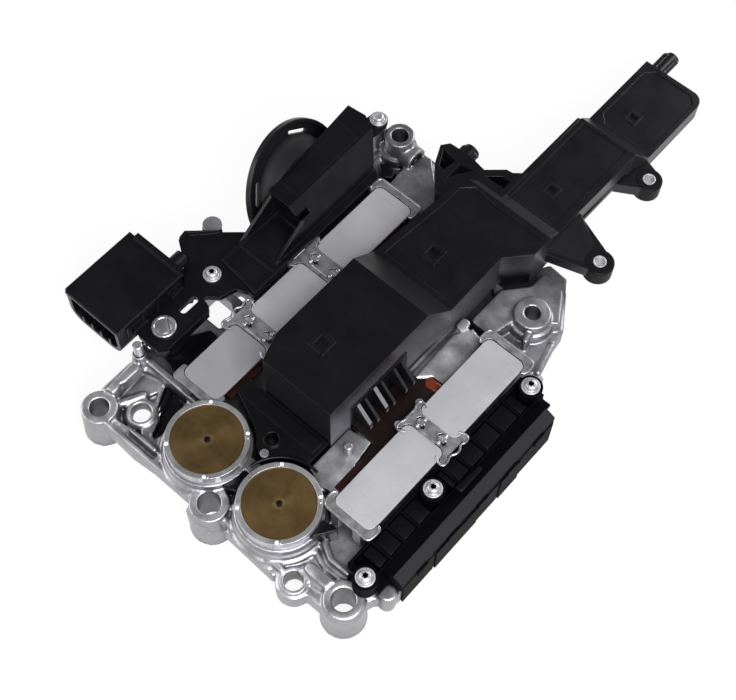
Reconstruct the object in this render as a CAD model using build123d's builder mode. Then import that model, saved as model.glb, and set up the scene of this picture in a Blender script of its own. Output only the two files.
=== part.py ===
from build123d import *
import os

os.makedirs("parts", exist_ok=True)

# Transmission mechatronic unit: valve body, solenoids, accumulators and control unit.
# Origin: axis of the front middle bolt bore at the mounting face. +Z up, +Y along the unit.

# Levels above the mounting face
lower_body_base = 1.0
lower_body_depth = 9.5
gasket_thickness = 1.5
deck_depth = 15.0
deck_base = lower_body_base + lower_body_depth + gasket_thickness
deck_top = deck_base + deck_depth
web_floor = 16.0
web_thickness = 3.0
rail_height = 5.0
parapet_width = 3.2
parapet_height = 3.5
ridge_width = 9.0
ridge_height = 6.0
ledge_ring = 2.6
gallery_x = 42.0
gallery_post_height = 15.0

# Fits and clearances
seat_clearance = 0.05
piece_gap = 0.3
screw_clearance = 0.35

# Valve body outline
deck_left = -104.5
deck_front = -2.0
deck_right = 112.0
strip_right = 121.5
strip_front = 34.0
strip_back = 172.0
back_right_x = 86.0
back_y = 262.0
back_left_y = 284.0
left_waist_x = -98.0

# Bolt bosses
middle_bore = (0.0, 0.0)
middle_bore_radius = 7.2
middle_boss_height = 34.0
left_bore = (-96.9, 1.2)
left_bore_radius = 6.3
left_boss_height = 30.0
right_bore = (99.7, 9.4)
right_bore_radius = 7.2
right_boss_height = 32.0
boss_wall = 5.2
boss_draft = 4.0
dowel_hole = (69.4, -0.8)
dowel_hole_radius = 6.0
dowel_hole_wall = 2.6
drain_hole = (-77.2, 17.2)
drain_hole_radius = 5.8
side_bore = (66.3, 228.0)
side_bore_radius = 5.2
side_boss_radius = 12.0
side_boss_height = 42.0
rear_bore = (-84.3, 272.9)
rear_bore_radius = 5.7
rear_boss_radius = 10.0
rear_boss_height = 48.0
rear_foot_radius = 13.0
rear_foot_height = 34.0

# Accumulators
accumulator_left = (-24.9, 25.6)
accumulator_right = (35.5, 24.3)
piston_radius = 22.8
piston_top = 47.3
piston_crown = 17.0
piston_skirt = 2.4
piston_hub_radius = 15.0
piston_hub_depth = 4.0
piston_dimple_radius = 2.3
piston_dimple_depth = 2.5
sleeve_wall = 2.2
sleeve_flange_radius = 26.0
sleeve_flange_depth = 9.0
sleeve_top = 48.2
bore_floor = 16.0
tower_radius = 27.6
tower_foot_radius = 29.2
tower_foot_height = 33.0
disc_spring_inner = 8.0
disc_spring_outer = 16.0
disc_spring_sheet = 1.4
disc_spring_count = 4
disc_spring_gap = 0.04
stake_radius = 1.6
stake_height = 0.5

# Solenoids
yoke_width = 30.0
yoke_sheet = 2.0
yoke_top = 46.0
yoke_corner = 5.0
yoke_end_width = 19.0
coil_width = 25.0
coil_fillet = 3.0
coil_end_gap = 1.0
coil_ledge_base = 37.0
coil_ledge_sheet = 4.0
coil_ledge_left = 18.4
coil_ledge_right = 21.2
plunger_radius = 4.0
plunger_clearance = 0.05
plunger_stroke = 1.5
pole_depth = 12.0
left_row_x = -54.0
right_row_x = 72.4
solenoid_rows = [
    (left_row_x, 47.5, 47.5),
    (left_row_x, 107.5, 48.0),
    (left_row_x, 170.0, 64.0),
    (right_row_x, 46.4, 68.8),
    (right_row_x, 125.0, 68.8),
]

# Retaining clips at the ends of the solenoid plates
clip_wrap = 6.0
clip_arm = 3.0
clip_sheet = 2.6
clip_top = 46.4
clip_leg_radius = 3.0
clip_hook_radius = 2.5
clip_leg_spacing = 17.0
clip_tongue = 5.0
clip_tongue_proud = 1.2
end_clip_room = 5.0

# Control unit
housing_base = 31.0
base_plate_depth = 4.0
housing_left = -29.0
housing_right = 31.4
housing_front = 74.5
housing_top = 84.0
step_one_start = 163.0
step_one_end = 183.0
level_two_top = 66.0
level_two_end = 266.0
level_two_right = 47.5
level_two_waist = 33.2
arm_start = level_two_end + 9.0
arm_top = 62.0
arm_depth = 15.0
arm_end = arm_start + 82.0
arm_left = 3.6
arm_right = 48.5
tip_start = arm_end + 14.0
tip_top = 47.0
tip_depth = 13.5
tip_end = tip_start + 66.0
tip_right = 52.2
tip_corner = 9.0
housing_wall = 2.8
housing_bevel = 1.2
corner_cut_x = 6.5
corner_cut_y = 19.0
panel_inset = 4.5
panel_depth = 0.7
window_size = 7.5
window_frame = 2.4
window_depth = 2.0
tab_thickness = 9.0
tab_one_hole = (62.0, arm_end + 2.0)
tab_one_top = 44.0
tab_two_hole = (77.0, arm_start + 8.2)
tab_two_top = 48.0
tab_lobe = 8.0
tab_bush_radius = 4.4
tab_bush_bore = 3.3
tab_bush_proud = 0.6
side_fin_rows = (97.0, 103.5, 112.0, 118.5, 130.0, 137.0)
side_fin_sheet = 2.0
side_fin_reach = 12.0
side_fin_top = 64.0
side_fin_base = 44.0
peg_radius = 5.2
peg_length = 18.5
peg_slot = 1.6
board_thickness = 1.6

# Side bracket and terminal box
bracket_level = 44.0
bracket_thickness = 4.0
bush_center = (-98.5, 62.5)
bush_radius = 8.0
bush_bore = 5.65
bush_top = 49.6
bush_base = 30.0
bracket_boss_radius = 12.0
bracket_boss_base = 32.0
bracket_screw = (-102.6, 109.9)
bracket_edge_height = 3.0
sensor_cap = (-130.0, 137.8)
cap_radius = 6.4
cap_height = 2.5
cap_lobe_depth = 4.0
slot_length = 14.5
slot_width = 5.0
slot_center = (-98.0, 84.2)
terminal_right = -109.6
terminal_front = 34.8
terminal_width = 48.0
terminal_length = 58.0
terminal_top = 62.0
terminal_base = 31.0
terminal_lid = 2.5
shroud_corner = 11.0
shroud_wall = 3.2
mouth_depth = 30.0
mouth_fin = 1.6
mouth_fin_height = 7.0
mouth_fin_depth = 14.0
lid_rail_height = 2.2
gland_center = (-123.0, 53.7)
gland_radius = 5.4
gland_length = 14.0

# Round plug connector
plug_center = (-112.0, 196.5, 45.0)
plug_turn = 8.0
plug_tilt = 25.0
plug_flange_radius = 45.0
plug_flange_sheet = 4.0
plug_body_radius = 25.0
plug_length = 26.0
plug_wall = 3.0
seal_width = 3.0
seal_height = 2.4
plug_flange_web = 2.4
plug_rim = 2.6
plug_hub_radius = 28.5
plug_hub_depth = 9.0
plug_slot_radius = 36.5
plug_slot_width = 2.6
plug_slot_length = 17.0
plug_slots = 4
plug_slope = 13.0
plug_box_top = 72.0
plug_box_base = 48.3
plug_foot_sheet = 2.0
plug_foot_rim = 1.4
plug_screw = (-101.8, 270.6)
plug_ear_level = 48.5
plug_ear_thickness = 3.5
plug_ear_radius = 6.5
contact_radius = 1.2
contact_length = 9.0

# Right-hand harness cover
cover_left = 89.0
cover_right = 107.5
cover_front = 16.0
cover_back = 190.0
cover_base = 33.0
cover_floor = 3.0
cover_rib_top = 42.0
cover_pad_top = 46.5
cover_pad_radius = 7.8
duct_ridge_x = 115.4
duct_right = 122.6
duct_front = 34.6
duct_back = 178.0
duct_ridge_top = 48.0
duct_edge_top = 44.5
ledge_top = 32.7
skirt_base = 13.0
skirt_panels = ((50.0, 28.0, 1.2), (84.5, 39.0, 2.0), (114.5, 19.0, 1.5), (134.5, 19.0, 2.2), (161.0, 32.0, 1.4))
latch_rows = (52.0, 80.0, 108.0, 136.0, 162.0)
latch_reach = 1.6
cover_screws = [(103.4, 24.0), (97.4, 91.8), (98.8, 183.8)]

# Locating pin
locating_pin = (-102.0, 42.4)
pin_radius = 3.2
pin_top = 48.0
pin_cone_top = 37.0
pin_depth = 8.0
pin_shank_radius = 2.9
pin_shoulder = 1.0

# Screws
screw_radius = 2.5
screw_head_radius = 6.0
screw_head_sheet = 1.6
screw_cap_radius = 4.1
screw_cap_depth = 4.2
screw_socket = 2.1
screw_depth = 14.0
body_screws = [(-68.0, 60.0), (78.0, 60.0), (78.0, 180.0), (-60.0, 232.0), (20.0, 120.0)]
body_screw_reach = 11.0
cover_screw_length = 24.5
bracket_screw_length = 17.0
plug_screw_length = 18.0

# Derived sizes
boss_radius_middle = middle_bore_radius + boss_wall
boss_radius_left = left_bore_radius + boss_wall
boss_radius_right = right_bore_radius + boss_wall
sleeve_outer = piston_radius + seat_clearance + sleeve_wall
tower_top = sleeve_top - sleeve_flange_depth


# Upper valve body: one casting with deck, towers, bosses, ribs and pockets
with BuildPart() as upper_valve_body:
    with BuildSketch(Plane.XY.offset(deck_base)):
        with BuildLine():
            Polyline(
                (deck_left, 52), (deck_left, 2), (-95, -5), (-66, -5), (-50, deck_front),
                (104, deck_front), (deck_right, 22), (strip_right, strip_front),
                (strip_right, strip_back), (deck_right - 6, 192), (90, 196),
                (back_right_x, 238), (70, back_y), (-34, back_y), (-58, back_left_y),
                (left_waist_x, back_left_y), (left_waist_x, 247), (-88, 242), (-78, 230),
                (-78, 166), (-88, 154), (left_waist_x, 150), (left_waist_x, 128), (-112, 116),
                (-112, 103), (left_waist_x, 92), (left_waist_x, 60),
                close=True,
            )
        make_face()
        fillet(vertices(), 2.5)
        with Locations(middle_bore):
            Circle(boss_radius_middle + 1)
        with Locations(left_bore):
            Circle(boss_radius_left)
        with Locations(right_bore):
            Circle(boss_radius_right + 1)
        with Locations(dowel_hole):
            Circle(dowel_hole_radius + boss_wall)
    extrude(amount=deck_depth)

    # Open pocket beside the left ear, with a thin web at the drain hole
    with BuildSketch(Plane.XY.offset(deck_top)):
        with BuildLine():
            Polyline(
                (-98, 38), (-98, 16), (-84, 3), (-68, 0), (-62, 6), (-72, 20), (-83, 42),
                close=True,
            )
        make_face()
        fillet(vertices(), 3)
    extrude(amount=-(deck_top - web_floor - web_thickness), mode=Mode.SUBTRACT)
    # Pockets that open onto the gasket plate
    with BuildSketch(Plane.XY.offset(deck_top)):
        with BuildLine():
            Polyline((-80, 41.5), (-61.5, 43.5), (-55, 17), (-57.3, 8.4), (-68, 17), close=True)
        make_face()
        fillet(vertices(), 1.5)
        with BuildLine():
            Polyline((-7, 15.8), (-6.5, 26), (3, 27), (3.5, 15.5), close=True)
        make_face()
        with BuildLine():
            Polyline((57, 25.4), (55, 40.5), (68, 40.5), close=True)
        make_face()
    extrude(amount=-deck_depth, mode=Mode.SUBTRACT)
    # Windows through the left side
    with BuildSketch(Plane.XY.offset(deck_top)):
        with Locations((-88.5, 99.6)):
            Rectangle(15.5, 15.5)
        with Locations((-88, 120)):
            Rectangle(12, 7)
    extrude(amount=-deck_depth, mode=Mode.SUBTRACT)

    # Accumulator towers
    with BuildSketch(Plane.XY.offset(deck_base)):
        with Locations(accumulator_left, accumulator_right):
            Circle(tower_foot_radius)
    extrude(amount=tower_foot_height - deck_base)
    with BuildSketch(Plane.XY.offset(tower_foot_height)):
        with Locations(accumulator_left, accumulator_right):
            Circle(tower_radius)
    extrude(amount=tower_top - tower_foot_height)
    # Bridge between the towers
    with BuildSketch(Plane.XY.offset(deck_base)):
        with Locations((5.0, 33.0)):
            Rectangle(12, 9)
    extrude(amount=tower_top - deck_base)

    # Bolt bosses with drafted walls standing on the mounting face
    for center, radius, height in (
        (middle_bore, boss_radius_middle, middle_boss_height),
        (left_bore, boss_radius_left, left_boss_height),
        (right_bore, boss_radius_right, right_boss_height),
    ):
        with BuildSketch(Plane.XY.offset(height)):
            with Locations(center):
                Circle(radius)
        extrude(amount=-height, taper=-boss_draft)
    # Dowel hole collar and drain hole collar
    with BuildSketch(Plane.XY.offset(deck_top)):
        with Locations(dowel_hole):
            Circle(dowel_hole_radius + dowel_hole_wall)
    extrude(amount=2)
    with BuildSketch(Plane.XY.offset(web_floor)):
        with Locations(drain_hole):
            Circle(drain_hole_radius + 2.4)
    extrude(amount=web_thickness + 2)

    # Side and rear bosses
    with BuildSketch(Plane.XY.offset(deck_base)):
        with Locations(side_bore):
            Circle(side_boss_radius + 3)
    extrude(amount=side_boss_height - deck_base - 8, taper=2)
    with BuildSketch(Plane.XY.offset(deck_base)):
        with Locations(side_bore):
            Circle(side_boss_radius)
    extrude(amount=side_boss_height - deck_base)
    with BuildSketch(Plane.XY.offset(deck_base)):
        with Locations(rear_bore):
            Circle(rear_foot_radius)
    extrude(amount=rear_foot_height - deck_base)
    with BuildSketch(Plane.XY.offset(deck_base)):
        with Locations(rear_bore):
            Circle(rear_boss_radius)
    extrude(amount=rear_boss_height - deck_base)

    # Long rounded gallery beside the control unit
    with BuildSketch(Plane.XZ.offset(-50.8)):
        with Locations((gallery_x, deck_top)):
            RectangleRounded(14, 26, 3.5)
    extrude(amount=-137)
    # Raised block behind the right-hand solenoids
    with BuildSketch(Plane.XY.offset(deck_top)):
        with BuildLine():
            Polyline(
                (38, 199), (56, 199), (60, 216), (84, 236), (70, 258), (51, 260), (51, 246), (38, 231),
                close=True,
            )
        make_face()
        fillet(vertices(), 3)
    extrude(amount=9, taper=6)
    # Rear wall between the rear boss and the control unit
    with BuildSketch(Plane.XY.offset(deck_top)):
        with BuildLine():
            Polyline((-70, 240), (-36, 240), (-36, 258), (-62, 282), (-74, 276), close=True)
        make_face()
        fillet(vertices(), 3)
    extrude(amount=7, taper=8)
    # Side port next to the rear boss
    with BuildSketch(Plane.YZ.offset(-77)):
        with Locations((272, 34)):
            Circle(9)
    extrude(amount=9)
    with BuildSketch(Plane.YZ.offset(-68)):
        with Locations((272, 34)):
            Circle(5.5)
    extrude(amount=-4, mode=Mode.SUBTRACT)
    # Post for the plug housing screw
    with BuildSketch(Plane.XY.offset(deck_base)):
        with Locations(plug_screw):
            Circle(6)
    extrude(amount=plug_ear_level - deck_base)
    # Ledge under the harness duct
    with BuildSketch(Plane.XY.offset(deck_top)):
        with Locations(((108 + strip_right) / 2, (strip_front + strip_back) / 2)):
            Rectangle(strip_right - 108, strip_back - strip_front - 8)
    extrude(amount=ledge_top - deck_top)
    # Mount for the side bracket and for the harness cover
    with BuildSketch(Plane.XY.offset(deck_top)):
        with Locations(bracket_screw):
            Circle(7)
    extrude(amount=bracket_level - deck_top)
    with BuildSketch(Plane.XY.offset(deck_top)):
        with Locations(*cover_screws):
            Circle(6)
    extrude(amount=cover_base - deck_top)
    # Left edge rail and cross ribs on the deck
    with BuildSketch(Plane.XY.offset(deck_top)):
        with Locations((-74, 44.2)):
            Rectangle(44, 4.4)
    extrude(amount=rail_height)
    # Cone under the locating pin
    with BuildSketch(Plane.XY.offset(deck_base)):
        with Locations(locating_pin):
            Circle(8)
    extrude(amount=pin_cone_top - deck_base, taper=8)
    # Front parapet between the bosses, with short ribs to the towers
    with BuildSketch(Plane.XY.offset(deck_top)):
        with Locations((-49, -3.2)):
            Rectangle(80, parapet_width)
        with Locations((36, -0.6)):
            Rectangle(66, parapet_width)
        with Locations((-45, 1)):
            Rectangle(parapet_width, 9)
        with Locations((17, 3)):
            Rectangle(parapet_width, 8)
    extrude(amount=parapet_height)
    # Ridge from the left boss to the locating pin, and one beside the pocket
    with BuildSketch(Plane.XY.offset(deck_top - 2)):
        with Locations((-99, 22)):
            RectangleRounded(ridge_width, 36, ridge_width / 2 - 0.2)
        with Locations((-60, 3.5)):
            RectangleRounded(26, 6, 2.8)
    extrude(amount=ridge_height + 2, taper=12)
    # Loaf ridge into the right boss and the curved wall behind it
    with BuildSketch(Plane.XY.offset(deck_top - 2)):
        with Locations((82, 10.5)):
            RectangleRounded(28, ridge_width, ridge_width / 2 - 0.2)
        with BuildLine():
            Polyline((62, 34), (66, 26), (77, 20), (93, 20.5), (93, 25), (79, 25), (70, 30), (67, 36), close=True)
        make_face()
    extrude(amount=ridge_height + 2, taper=8)
    # Ledge rings round the feet of the towers
    with BuildSketch(Plane.XY.offset(deck_top)):
        with Locations(accumulator_left, accumulator_right):
            Circle(tower_foot_radius + ledge_ring)
        with Locations((5, 60)):
            Rectangle(200, 60, mode=Mode.SUBTRACT)
    extrude(amount=ledge_ring)
    # Rib on the side boss and post beside the gallery
    with BuildSketch(Plane.XY.offset(deck_top)):
        with BuildLine():
            Polyline((68, 222), (73.5, 209), (76, 210), (73, 224), close=True)
        make_face()
    extrude(amount=side_boss_height - deck_top - 3)
    with BuildSketch(Plane.XY.offset(deck_top)):
        with Locations((gallery_x - 3.4, 192)):
            RectangleRounded(7, 9, 2.6)
    extrude(amount=gallery_post_height)
    # Lugs at the front of the harness cover
    with BuildSketch(Plane.XY.offset(deck_base)):
        with Locations((116.3, 29.5)):
            Circle(5.5)
    extrude(amount=cover_base - deck_base)

    # Flat landings round the bores
    for center, radius, level in (
        (left_bore, boss_radius_left, left_boss_height),
        (right_bore, boss_radius_right, right_boss_height),
        (dowel_hole, dowel_hole_radius + dowel_hole_wall, deck_top + 2),
    ):
        with BuildSketch(Plane.XY.offset(level)):
            with Locations(center):
                Circle(radius)
        extrude(amount=8, mode=Mode.SUBTRACT)

    # Through holes
    with Locations((middle_bore[0], middle_bore[1], middle_boss_height)):
        Hole(middle_bore_radius, middle_boss_height)
    with Locations((left_bore[0], left_bore[1], left_boss_height)):
        Hole(left_bore_radius, left_boss_height)
    with Locations((right_bore[0], right_bore[1], right_boss_height)):
        Hole(right_bore_radius, right_boss_height)
    with Locations((dowel_hole[0], dowel_hole[1], deck_top + 2)):
        Hole(dowel_hole_radius, deck_depth + 4)
    with Locations((drain_hole[0], drain_hole[1], deck_top)):
        Hole(drain_hole_radius, deck_depth)
    with Locations((side_bore[0], side_bore[1], side_boss_height)):
        Hole(side_bore_radius, side_boss_height)
    with Locations((rear_bore[0], rear_bore[1], rear_boss_height)):
        Hole(rear_bore_radius, rear_boss_height)
    # Hollow under the pocket web
    with BuildSketch(Plane.XY.offset(deck_base)):
        with Locations((-79, 18)):
            Rectangle(24, 26)
    extrude(amount=web_floor - deck_base, mode=Mode.SUBTRACT)
    with Locations((locating_pin[0], locating_pin[1], pin_cone_top)):
        Hole(pin_shank_radius + seat_clearance, pin_depth)
    # Accumulator bores
    for center in (accumulator_left, accumulator_right):
        with Locations((center[0], center[1], tower_top)):
            Hole(sleeve_outer + seat_clearance, tower_top - bore_floor)
    # Screw holes
    with BuildSketch(Plane.XY.offset(deck_base)):
        with Locations(*body_screws):
            Circle(screw_radius + seat_clearance)
    extrude(amount=body_screw_reach, mode=Mode.SUBTRACT)
    with Locations((plug_screw[0], plug_screw[1], plug_ear_level)):
        Hole(screw_radius + seat_clearance, screw_depth + 2)
    with Locations((bracket_screw[0], bracket_screw[1], bracket_level)):
        Hole(screw_radius + seat_clearance, screw_depth)
    for x, y in cover_screws:
        with Locations((x, y, cover_base)):
            Hole(screw_radius + seat_clearance, screw_depth)
upper_valve_body.part.label = "upper_valve_body"
export_step(upper_valve_body.part, "parts/upper_valve_body.step")

# Gasket plate between the two valve body castings
with BuildPart() as gasket_plate:
    with BuildSketch(Plane.XY.offset(deck_base - gasket_thickness)):
        with BuildLine():
            Polyline(
                (-72, 6), (-20, 6), (-16, 18), (16, 18), (20, 6), (82, 6), (84, 26), (104, 30),
                (104, 188), (94, 210), (50, 214), (46, 246), (-70, 246), (-70, 112), (-78, 86), (-92, 80), (-92, 34),
                (-72, 30),
                close=True,
            )
        make_face()
        fillet(vertices(), 2)
        with Locations(*body_screws):
            Circle(screw_radius + screw_clearance, mode=Mode.SUBTRACT)
    extrude(amount=gasket_thickness)
gasket_plate.part.label = "gasket_plate"
export_step(gasket_plate.part, "parts/gasket_plate.step")

# Lower valve body with its oil galleries
gallery_width = 6.0
gallery_depth = 5.0
with BuildPart() as lower_valve_body:
    with BuildSketch(Plane.XY.offset(lower_body_base)):
        with BuildLine():
            Polyline(
                (-68, 18), (78, 18), (82, 30), (100, 34), (100, 186), (90, 206), (48, 210), (42, 242), (-66, 242),
                (-66, 116), (-74, 84), (-88, 78), (-88, 38), (-68, 34),
                close=True,
            )
        make_face()
        fillet(vertices(), 3)
    extrude(amount=lower_body_depth)
    # Galleries cut into the underside
    with BuildSketch(Plane.XY.offset(lower_body_base)):
        with GridLocations(24, 0, 6, 1):
            with Locations((6, 62)):
                SlotOverall(52, gallery_width, rotation=90)
            with Locations((6, 168)):
                SlotOverall(70, gallery_width, rotation=90)
        with Locations((6, 108)):
            SlotOverall(130, gallery_width)
        with Locations((-8, 222)):
            SlotOverall(86, gallery_width)
    extrude(amount=gallery_depth, mode=Mode.SUBTRACT)
    for x, y in body_screws:
        with Locations((x, y, lower_body_base)):
            with Locations(Rotation(180, 0, 0)):
                CounterBoreHole(
                    screw_radius + screw_clearance, screw_head_radius + piece_gap,
                    screw_cap_depth + screw_head_sheet,
                )
lower_valve_body.part.label = "lower_valve_body"
export_step(lower_valve_body.part, "parts/lower_valve_body.step")

# Accumulators: flanged sleeve, disc springs and piston
for side, center in (("left", accumulator_left), ("right", accumulator_right)):
    with BuildPart() as sleeve:
        with BuildSketch(Plane.XY.offset(bore_floor)):
            with Locations(center):
                Circle(sleeve_outer)
                Circle(piston_radius + seat_clearance, mode=Mode.SUBTRACT)
        extrude(amount=sleeve_top - bore_floor)
        with BuildSketch(Plane.XY.offset(tower_top)):
            with Locations(center):
                Circle(sleeve_flange_radius)
                Circle(piston_radius + seat_clearance, mode=Mode.SUBTRACT)
        extrude(amount=sleeve_flange_depth)
        # Staked marks on the flange
        with BuildSketch(Plane.XY.offset(sleeve_top)):
            with Locations(center):
                with PolarLocations((piston_radius + sleeve_flange_radius) / 2, 4, start_angle=44):
                    Circle(stake_radius * 0.8)
        extrude(amount=stake_height)
    sleeve.part.label = "accumulator_sleeve_" + side
    export_step(sleeve.part, "parts/accumulator_sleeve_" + side + ".step")

    crown_base = piston_top - piston_crown
    hub_base = crown_base - piston_hub_depth
    with BuildPart() as piston:
        with BuildSketch(Plane.XY.offset(crown_base)):
            with Locations(center):
                Circle(piston_radius)
        extrude(amount=piston_crown)
        with BuildSketch(Plane.XY.offset(hub_base)):
            with Locations(center):
                Circle(piston_hub_radius)
        extrude(amount=piston_hub_depth)
        with BuildSketch(Plane.XY.offset(crown_base)):
            with Locations(center):
                Circle(piston_radius - piston_skirt)
                Circle(piston_hub_radius, mode=Mode.SUBTRACT)
        extrude(amount=piston_crown * 0.6, mode=Mode.SUBTRACT)
        with Locations((center[0], center[1], piston_top)):
            Hole(piston_dimple_radius, piston_dimple_depth)
    piston.part.label = "accumulator_piston_" + side
    export_step(piston.part, "parts/accumulator_piston_" + side + ".step")

    disc_pitch = (hub_base - bore_floor) / disc_spring_count
    disc_rise = disc_pitch - disc_spring_sheet - disc_spring_gap
    with BuildPart() as spring:
        for disc in range(disc_spring_count):
            low = bore_floor + disc * disc_pitch + disc_spring_gap / 2
            at_inner = low + disc_rise * (disc % 2)
            at_outer = low + disc_rise * (1 - disc % 2)
            spring_plane = Plane(origin=(center[0], center[1], 0), x_dir=(1, 0, 0), z_dir=(0, -1, 0))
            with BuildSketch(spring_plane):
                with BuildLine():
                    Polyline(
                        (disc_spring_inner, at_inner), (disc_spring_outer, at_outer),
                        (disc_spring_outer, at_outer + disc_spring_sheet),
                        (disc_spring_inner, at_inner + disc_spring_sheet),
                        close=True,
                    )
                make_face()
            revolve(axis=Axis((center[0], center[1], 0), (0, 0, 1)))
    spring.part.label = "accumulator_spring_" + side
    export_step(spring.part, "parts/accumulator_spring_" + side + ".step")

# Solenoids: brown moulded coil on the deck, steel yoke plate above, plunger in the coil
coil_top = yoke_top - yoke_sheet
coil_axis_z = (deck_top + coil_top) / 2
for number, (row_x, start, length) in enumerate(solenoid_rows, start=1):
    middle = start + length / 2
    with BuildPart() as yoke:
        with BuildSketch(Plane.XY.offset(coil_top)):
            with Locations((row_x, middle)):
                RectangleRounded(yoke_width, length, yoke_corner)
        extrude(amount=yoke_sheet)
        with BuildSketch(Plane.XY.offset(deck_top)):
            with Locations((row_x, start + yoke_sheet / 2), (row_x, start + length - yoke_sheet / 2)):
                Rectangle(yoke_end_width, yoke_sheet)
        extrude(amount=coil_top - deck_top)
        fillet(yoke.faces().sort_by(Axis.Z)[-1].edges(), 0.5)
    yoke.part.label = f"solenoid_yoke_{number}"
    export_step(yoke.part, f"parts/solenoid_yoke_{number}.step")

    coil_front = start + yoke_sheet + coil_end_gap
    coil_length = length - 2 * (yoke_sheet + coil_end_gap)
    bore_length = coil_length - pole_depth
    with BuildPart() as coil:
        with BuildSketch(Plane.XZ.offset(-coil_front)):
            with Locations((row_x, coil_axis_z)):
                RectangleRounded(coil_width, coil_top - deck_top, coil_fillet)
        extrude(amount=-coil_length)
        # Waist of the winding between the end cheeks
        with BuildSketch(Plane.XZ.offset(-(coil_front + 4))):
            with Locations((row_x, coil_axis_z)):
                RectangleRounded(coil_width + 2, coil_top - deck_top + 2, coil_fillet)
                RectangleRounded(coil_width - 3, coil_top - deck_top - 1, coil_fillet, mode=Mode.SUBTRACT)
        extrude(amount=-(coil_length - 8), mode=Mode.SUBTRACT)
        with BuildSketch(Plane.XZ.offset(-coil_front)):
            with Locations((row_x, coil_axis_z)):
                Circle(plunger_radius + plunger_clearance)
        extrude(amount=-bore_length, mode=Mode.SUBTRACT)
        # Contact ledge on the side of the control unit
        toward = -1 if row_x > 0 else 1
        ledge_reach = coil_ledge_right if row_x > 0 else coil_ledge_left
        ledge_root = coil_width / 2 - coil_fillet - 1.5
        with BuildSketch(Plane.XY.offset(coil_ledge_base)):
            with Locations((row_x + toward * (ledge_reach + ledge_root) / 2, middle)):
                Rectangle(ledge_reach - ledge_root, coil_length - 12)
        extrude(amount=coil_ledge_sheet)
    coil.part.label = f"solenoid_coil_{number}"
    export_step(coil.part, f"parts/solenoid_coil_{number}.step")

    with BuildPart() as plunger:
        with BuildSketch(Plane.XZ.offset(-(coil_front + piece_gap))):
            with Locations((row_x, coil_axis_z)):
                Circle(plunger_radius)
        extrude(amount=-(bore_length - plunger_stroke - 2 * piece_gap))
        with BuildSketch(Plane.XZ.offset(-(coil_front + piece_gap))):
            with Locations((row_x, coil_axis_z)):
                Circle(plunger_radius / 2)
        extrude(amount=-4, mode=Mode.SUBTRACT)
    plunger.part.label = f"solenoid_plunger_{number}"
    export_step(plunger.part, f"parts/solenoid_plunger_{number}.step")

# Retaining clips: between neighbouring plates, and at each end of a row
clip_base = clip_top - clip_sheet
with BuildPart() as middle_clips:
    for first, second in ((0, 1), (1, 2), (3, 4)):
        row_x, start, length = solenoid_rows[first]
        next_start, next_length = solenoid_rows[second][1:]
        center_y = (start + length + next_start) / 2
        reach = next_start - start - length + 2 * clip_wrap
        legs = [(row_x - clip_leg_spacing / 2, center_y), (row_x + clip_leg_spacing / 2, center_y)]
        with BuildSketch(Plane.XY.offset(clip_base)):
            with Locations((row_x, center_y)):
                RectangleRounded(yoke_width + 2 * clip_arm, reach, clip_arm)
                with GridLocations(yoke_width + 2 * clip_hook_radius + 1, reach - 2, 2, 2):
                    Circle(clip_hook_radius)
            for low, span in ((start, length), (next_start, next_length)):
                with Locations((row_x, low + span / 2)):
                    RectangleRounded(
                        yoke_width + 2 * piece_gap, span + 2 * piece_gap, yoke_corner,
                        mode=Mode.SUBTRACT,
                    )
        extrude(amount=clip_sheet)
        with BuildSketch(Plane.XY.offset(deck_top)):
            with Locations(*legs):
                Circle(clip_leg_radius)
        extrude(amount=clip_base - deck_top)
        with BuildSketch(Plane.XY.offset(clip_top)):
            with Locations(*legs):
                RectangleRounded(clip_tongue, clip_tongue - 1, 1)
        extrude(amount=clip_tongue_proud)
middle_clips.part.label = "middle_clips"
export_step(middle_clips.part, "parts/middle_clips.step")

with BuildPart() as end_clips:
    for index, side in ((0, -1), (2, 1), (3, -1), (4, 1)):
        row_x, start, length = solenoid_rows[index]
        edge = start if side < 0 else start + length
        reach = end_clip_room + clip_wrap
        with BuildSketch(Plane.XY.offset(clip_base)):
            with Locations((row_x, edge + side * (end_clip_room - clip_wrap) / 2)):
                RectangleRounded(yoke_width + 2 * clip_arm, reach, clip_arm * 0.8)
            with Locations((row_x, start + length / 2)):
                RectangleRounded(
                    yoke_width + 2 * piece_gap, length + 2 * piece_gap, yoke_corner,
                    mode=Mode.SUBTRACT,
                )
            with Locations(accumulator_left, accumulator_right):
                Circle(sleeve_flange_radius + piece_gap, mode=Mode.SUBTRACT)
        extrude(amount=clip_sheet)
        center_y = edge + side * (piece_gap + end_clip_room) / 2
        legs = [(row_x - clip_leg_spacing / 2, center_y), (row_x + clip_leg_spacing / 2, center_y)]
        leg_base = deck_top
        if index == 0:
            # The front clip of the left row stands on the deck rail with one leg
            legs = legs[:1]
            leg_base = deck_top + rail_height
        with BuildSketch(Plane.XY.offset(leg_base)):
            with Locations(*legs):
                Rectangle(2 * clip_leg_radius, end_clip_room - 2 * piece_gap)
        extrude(amount=clip_base - leg_base)
end_clips.part.label = "end_clips"
export_step(end_clips.part, "parts/end_clips.step")

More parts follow.
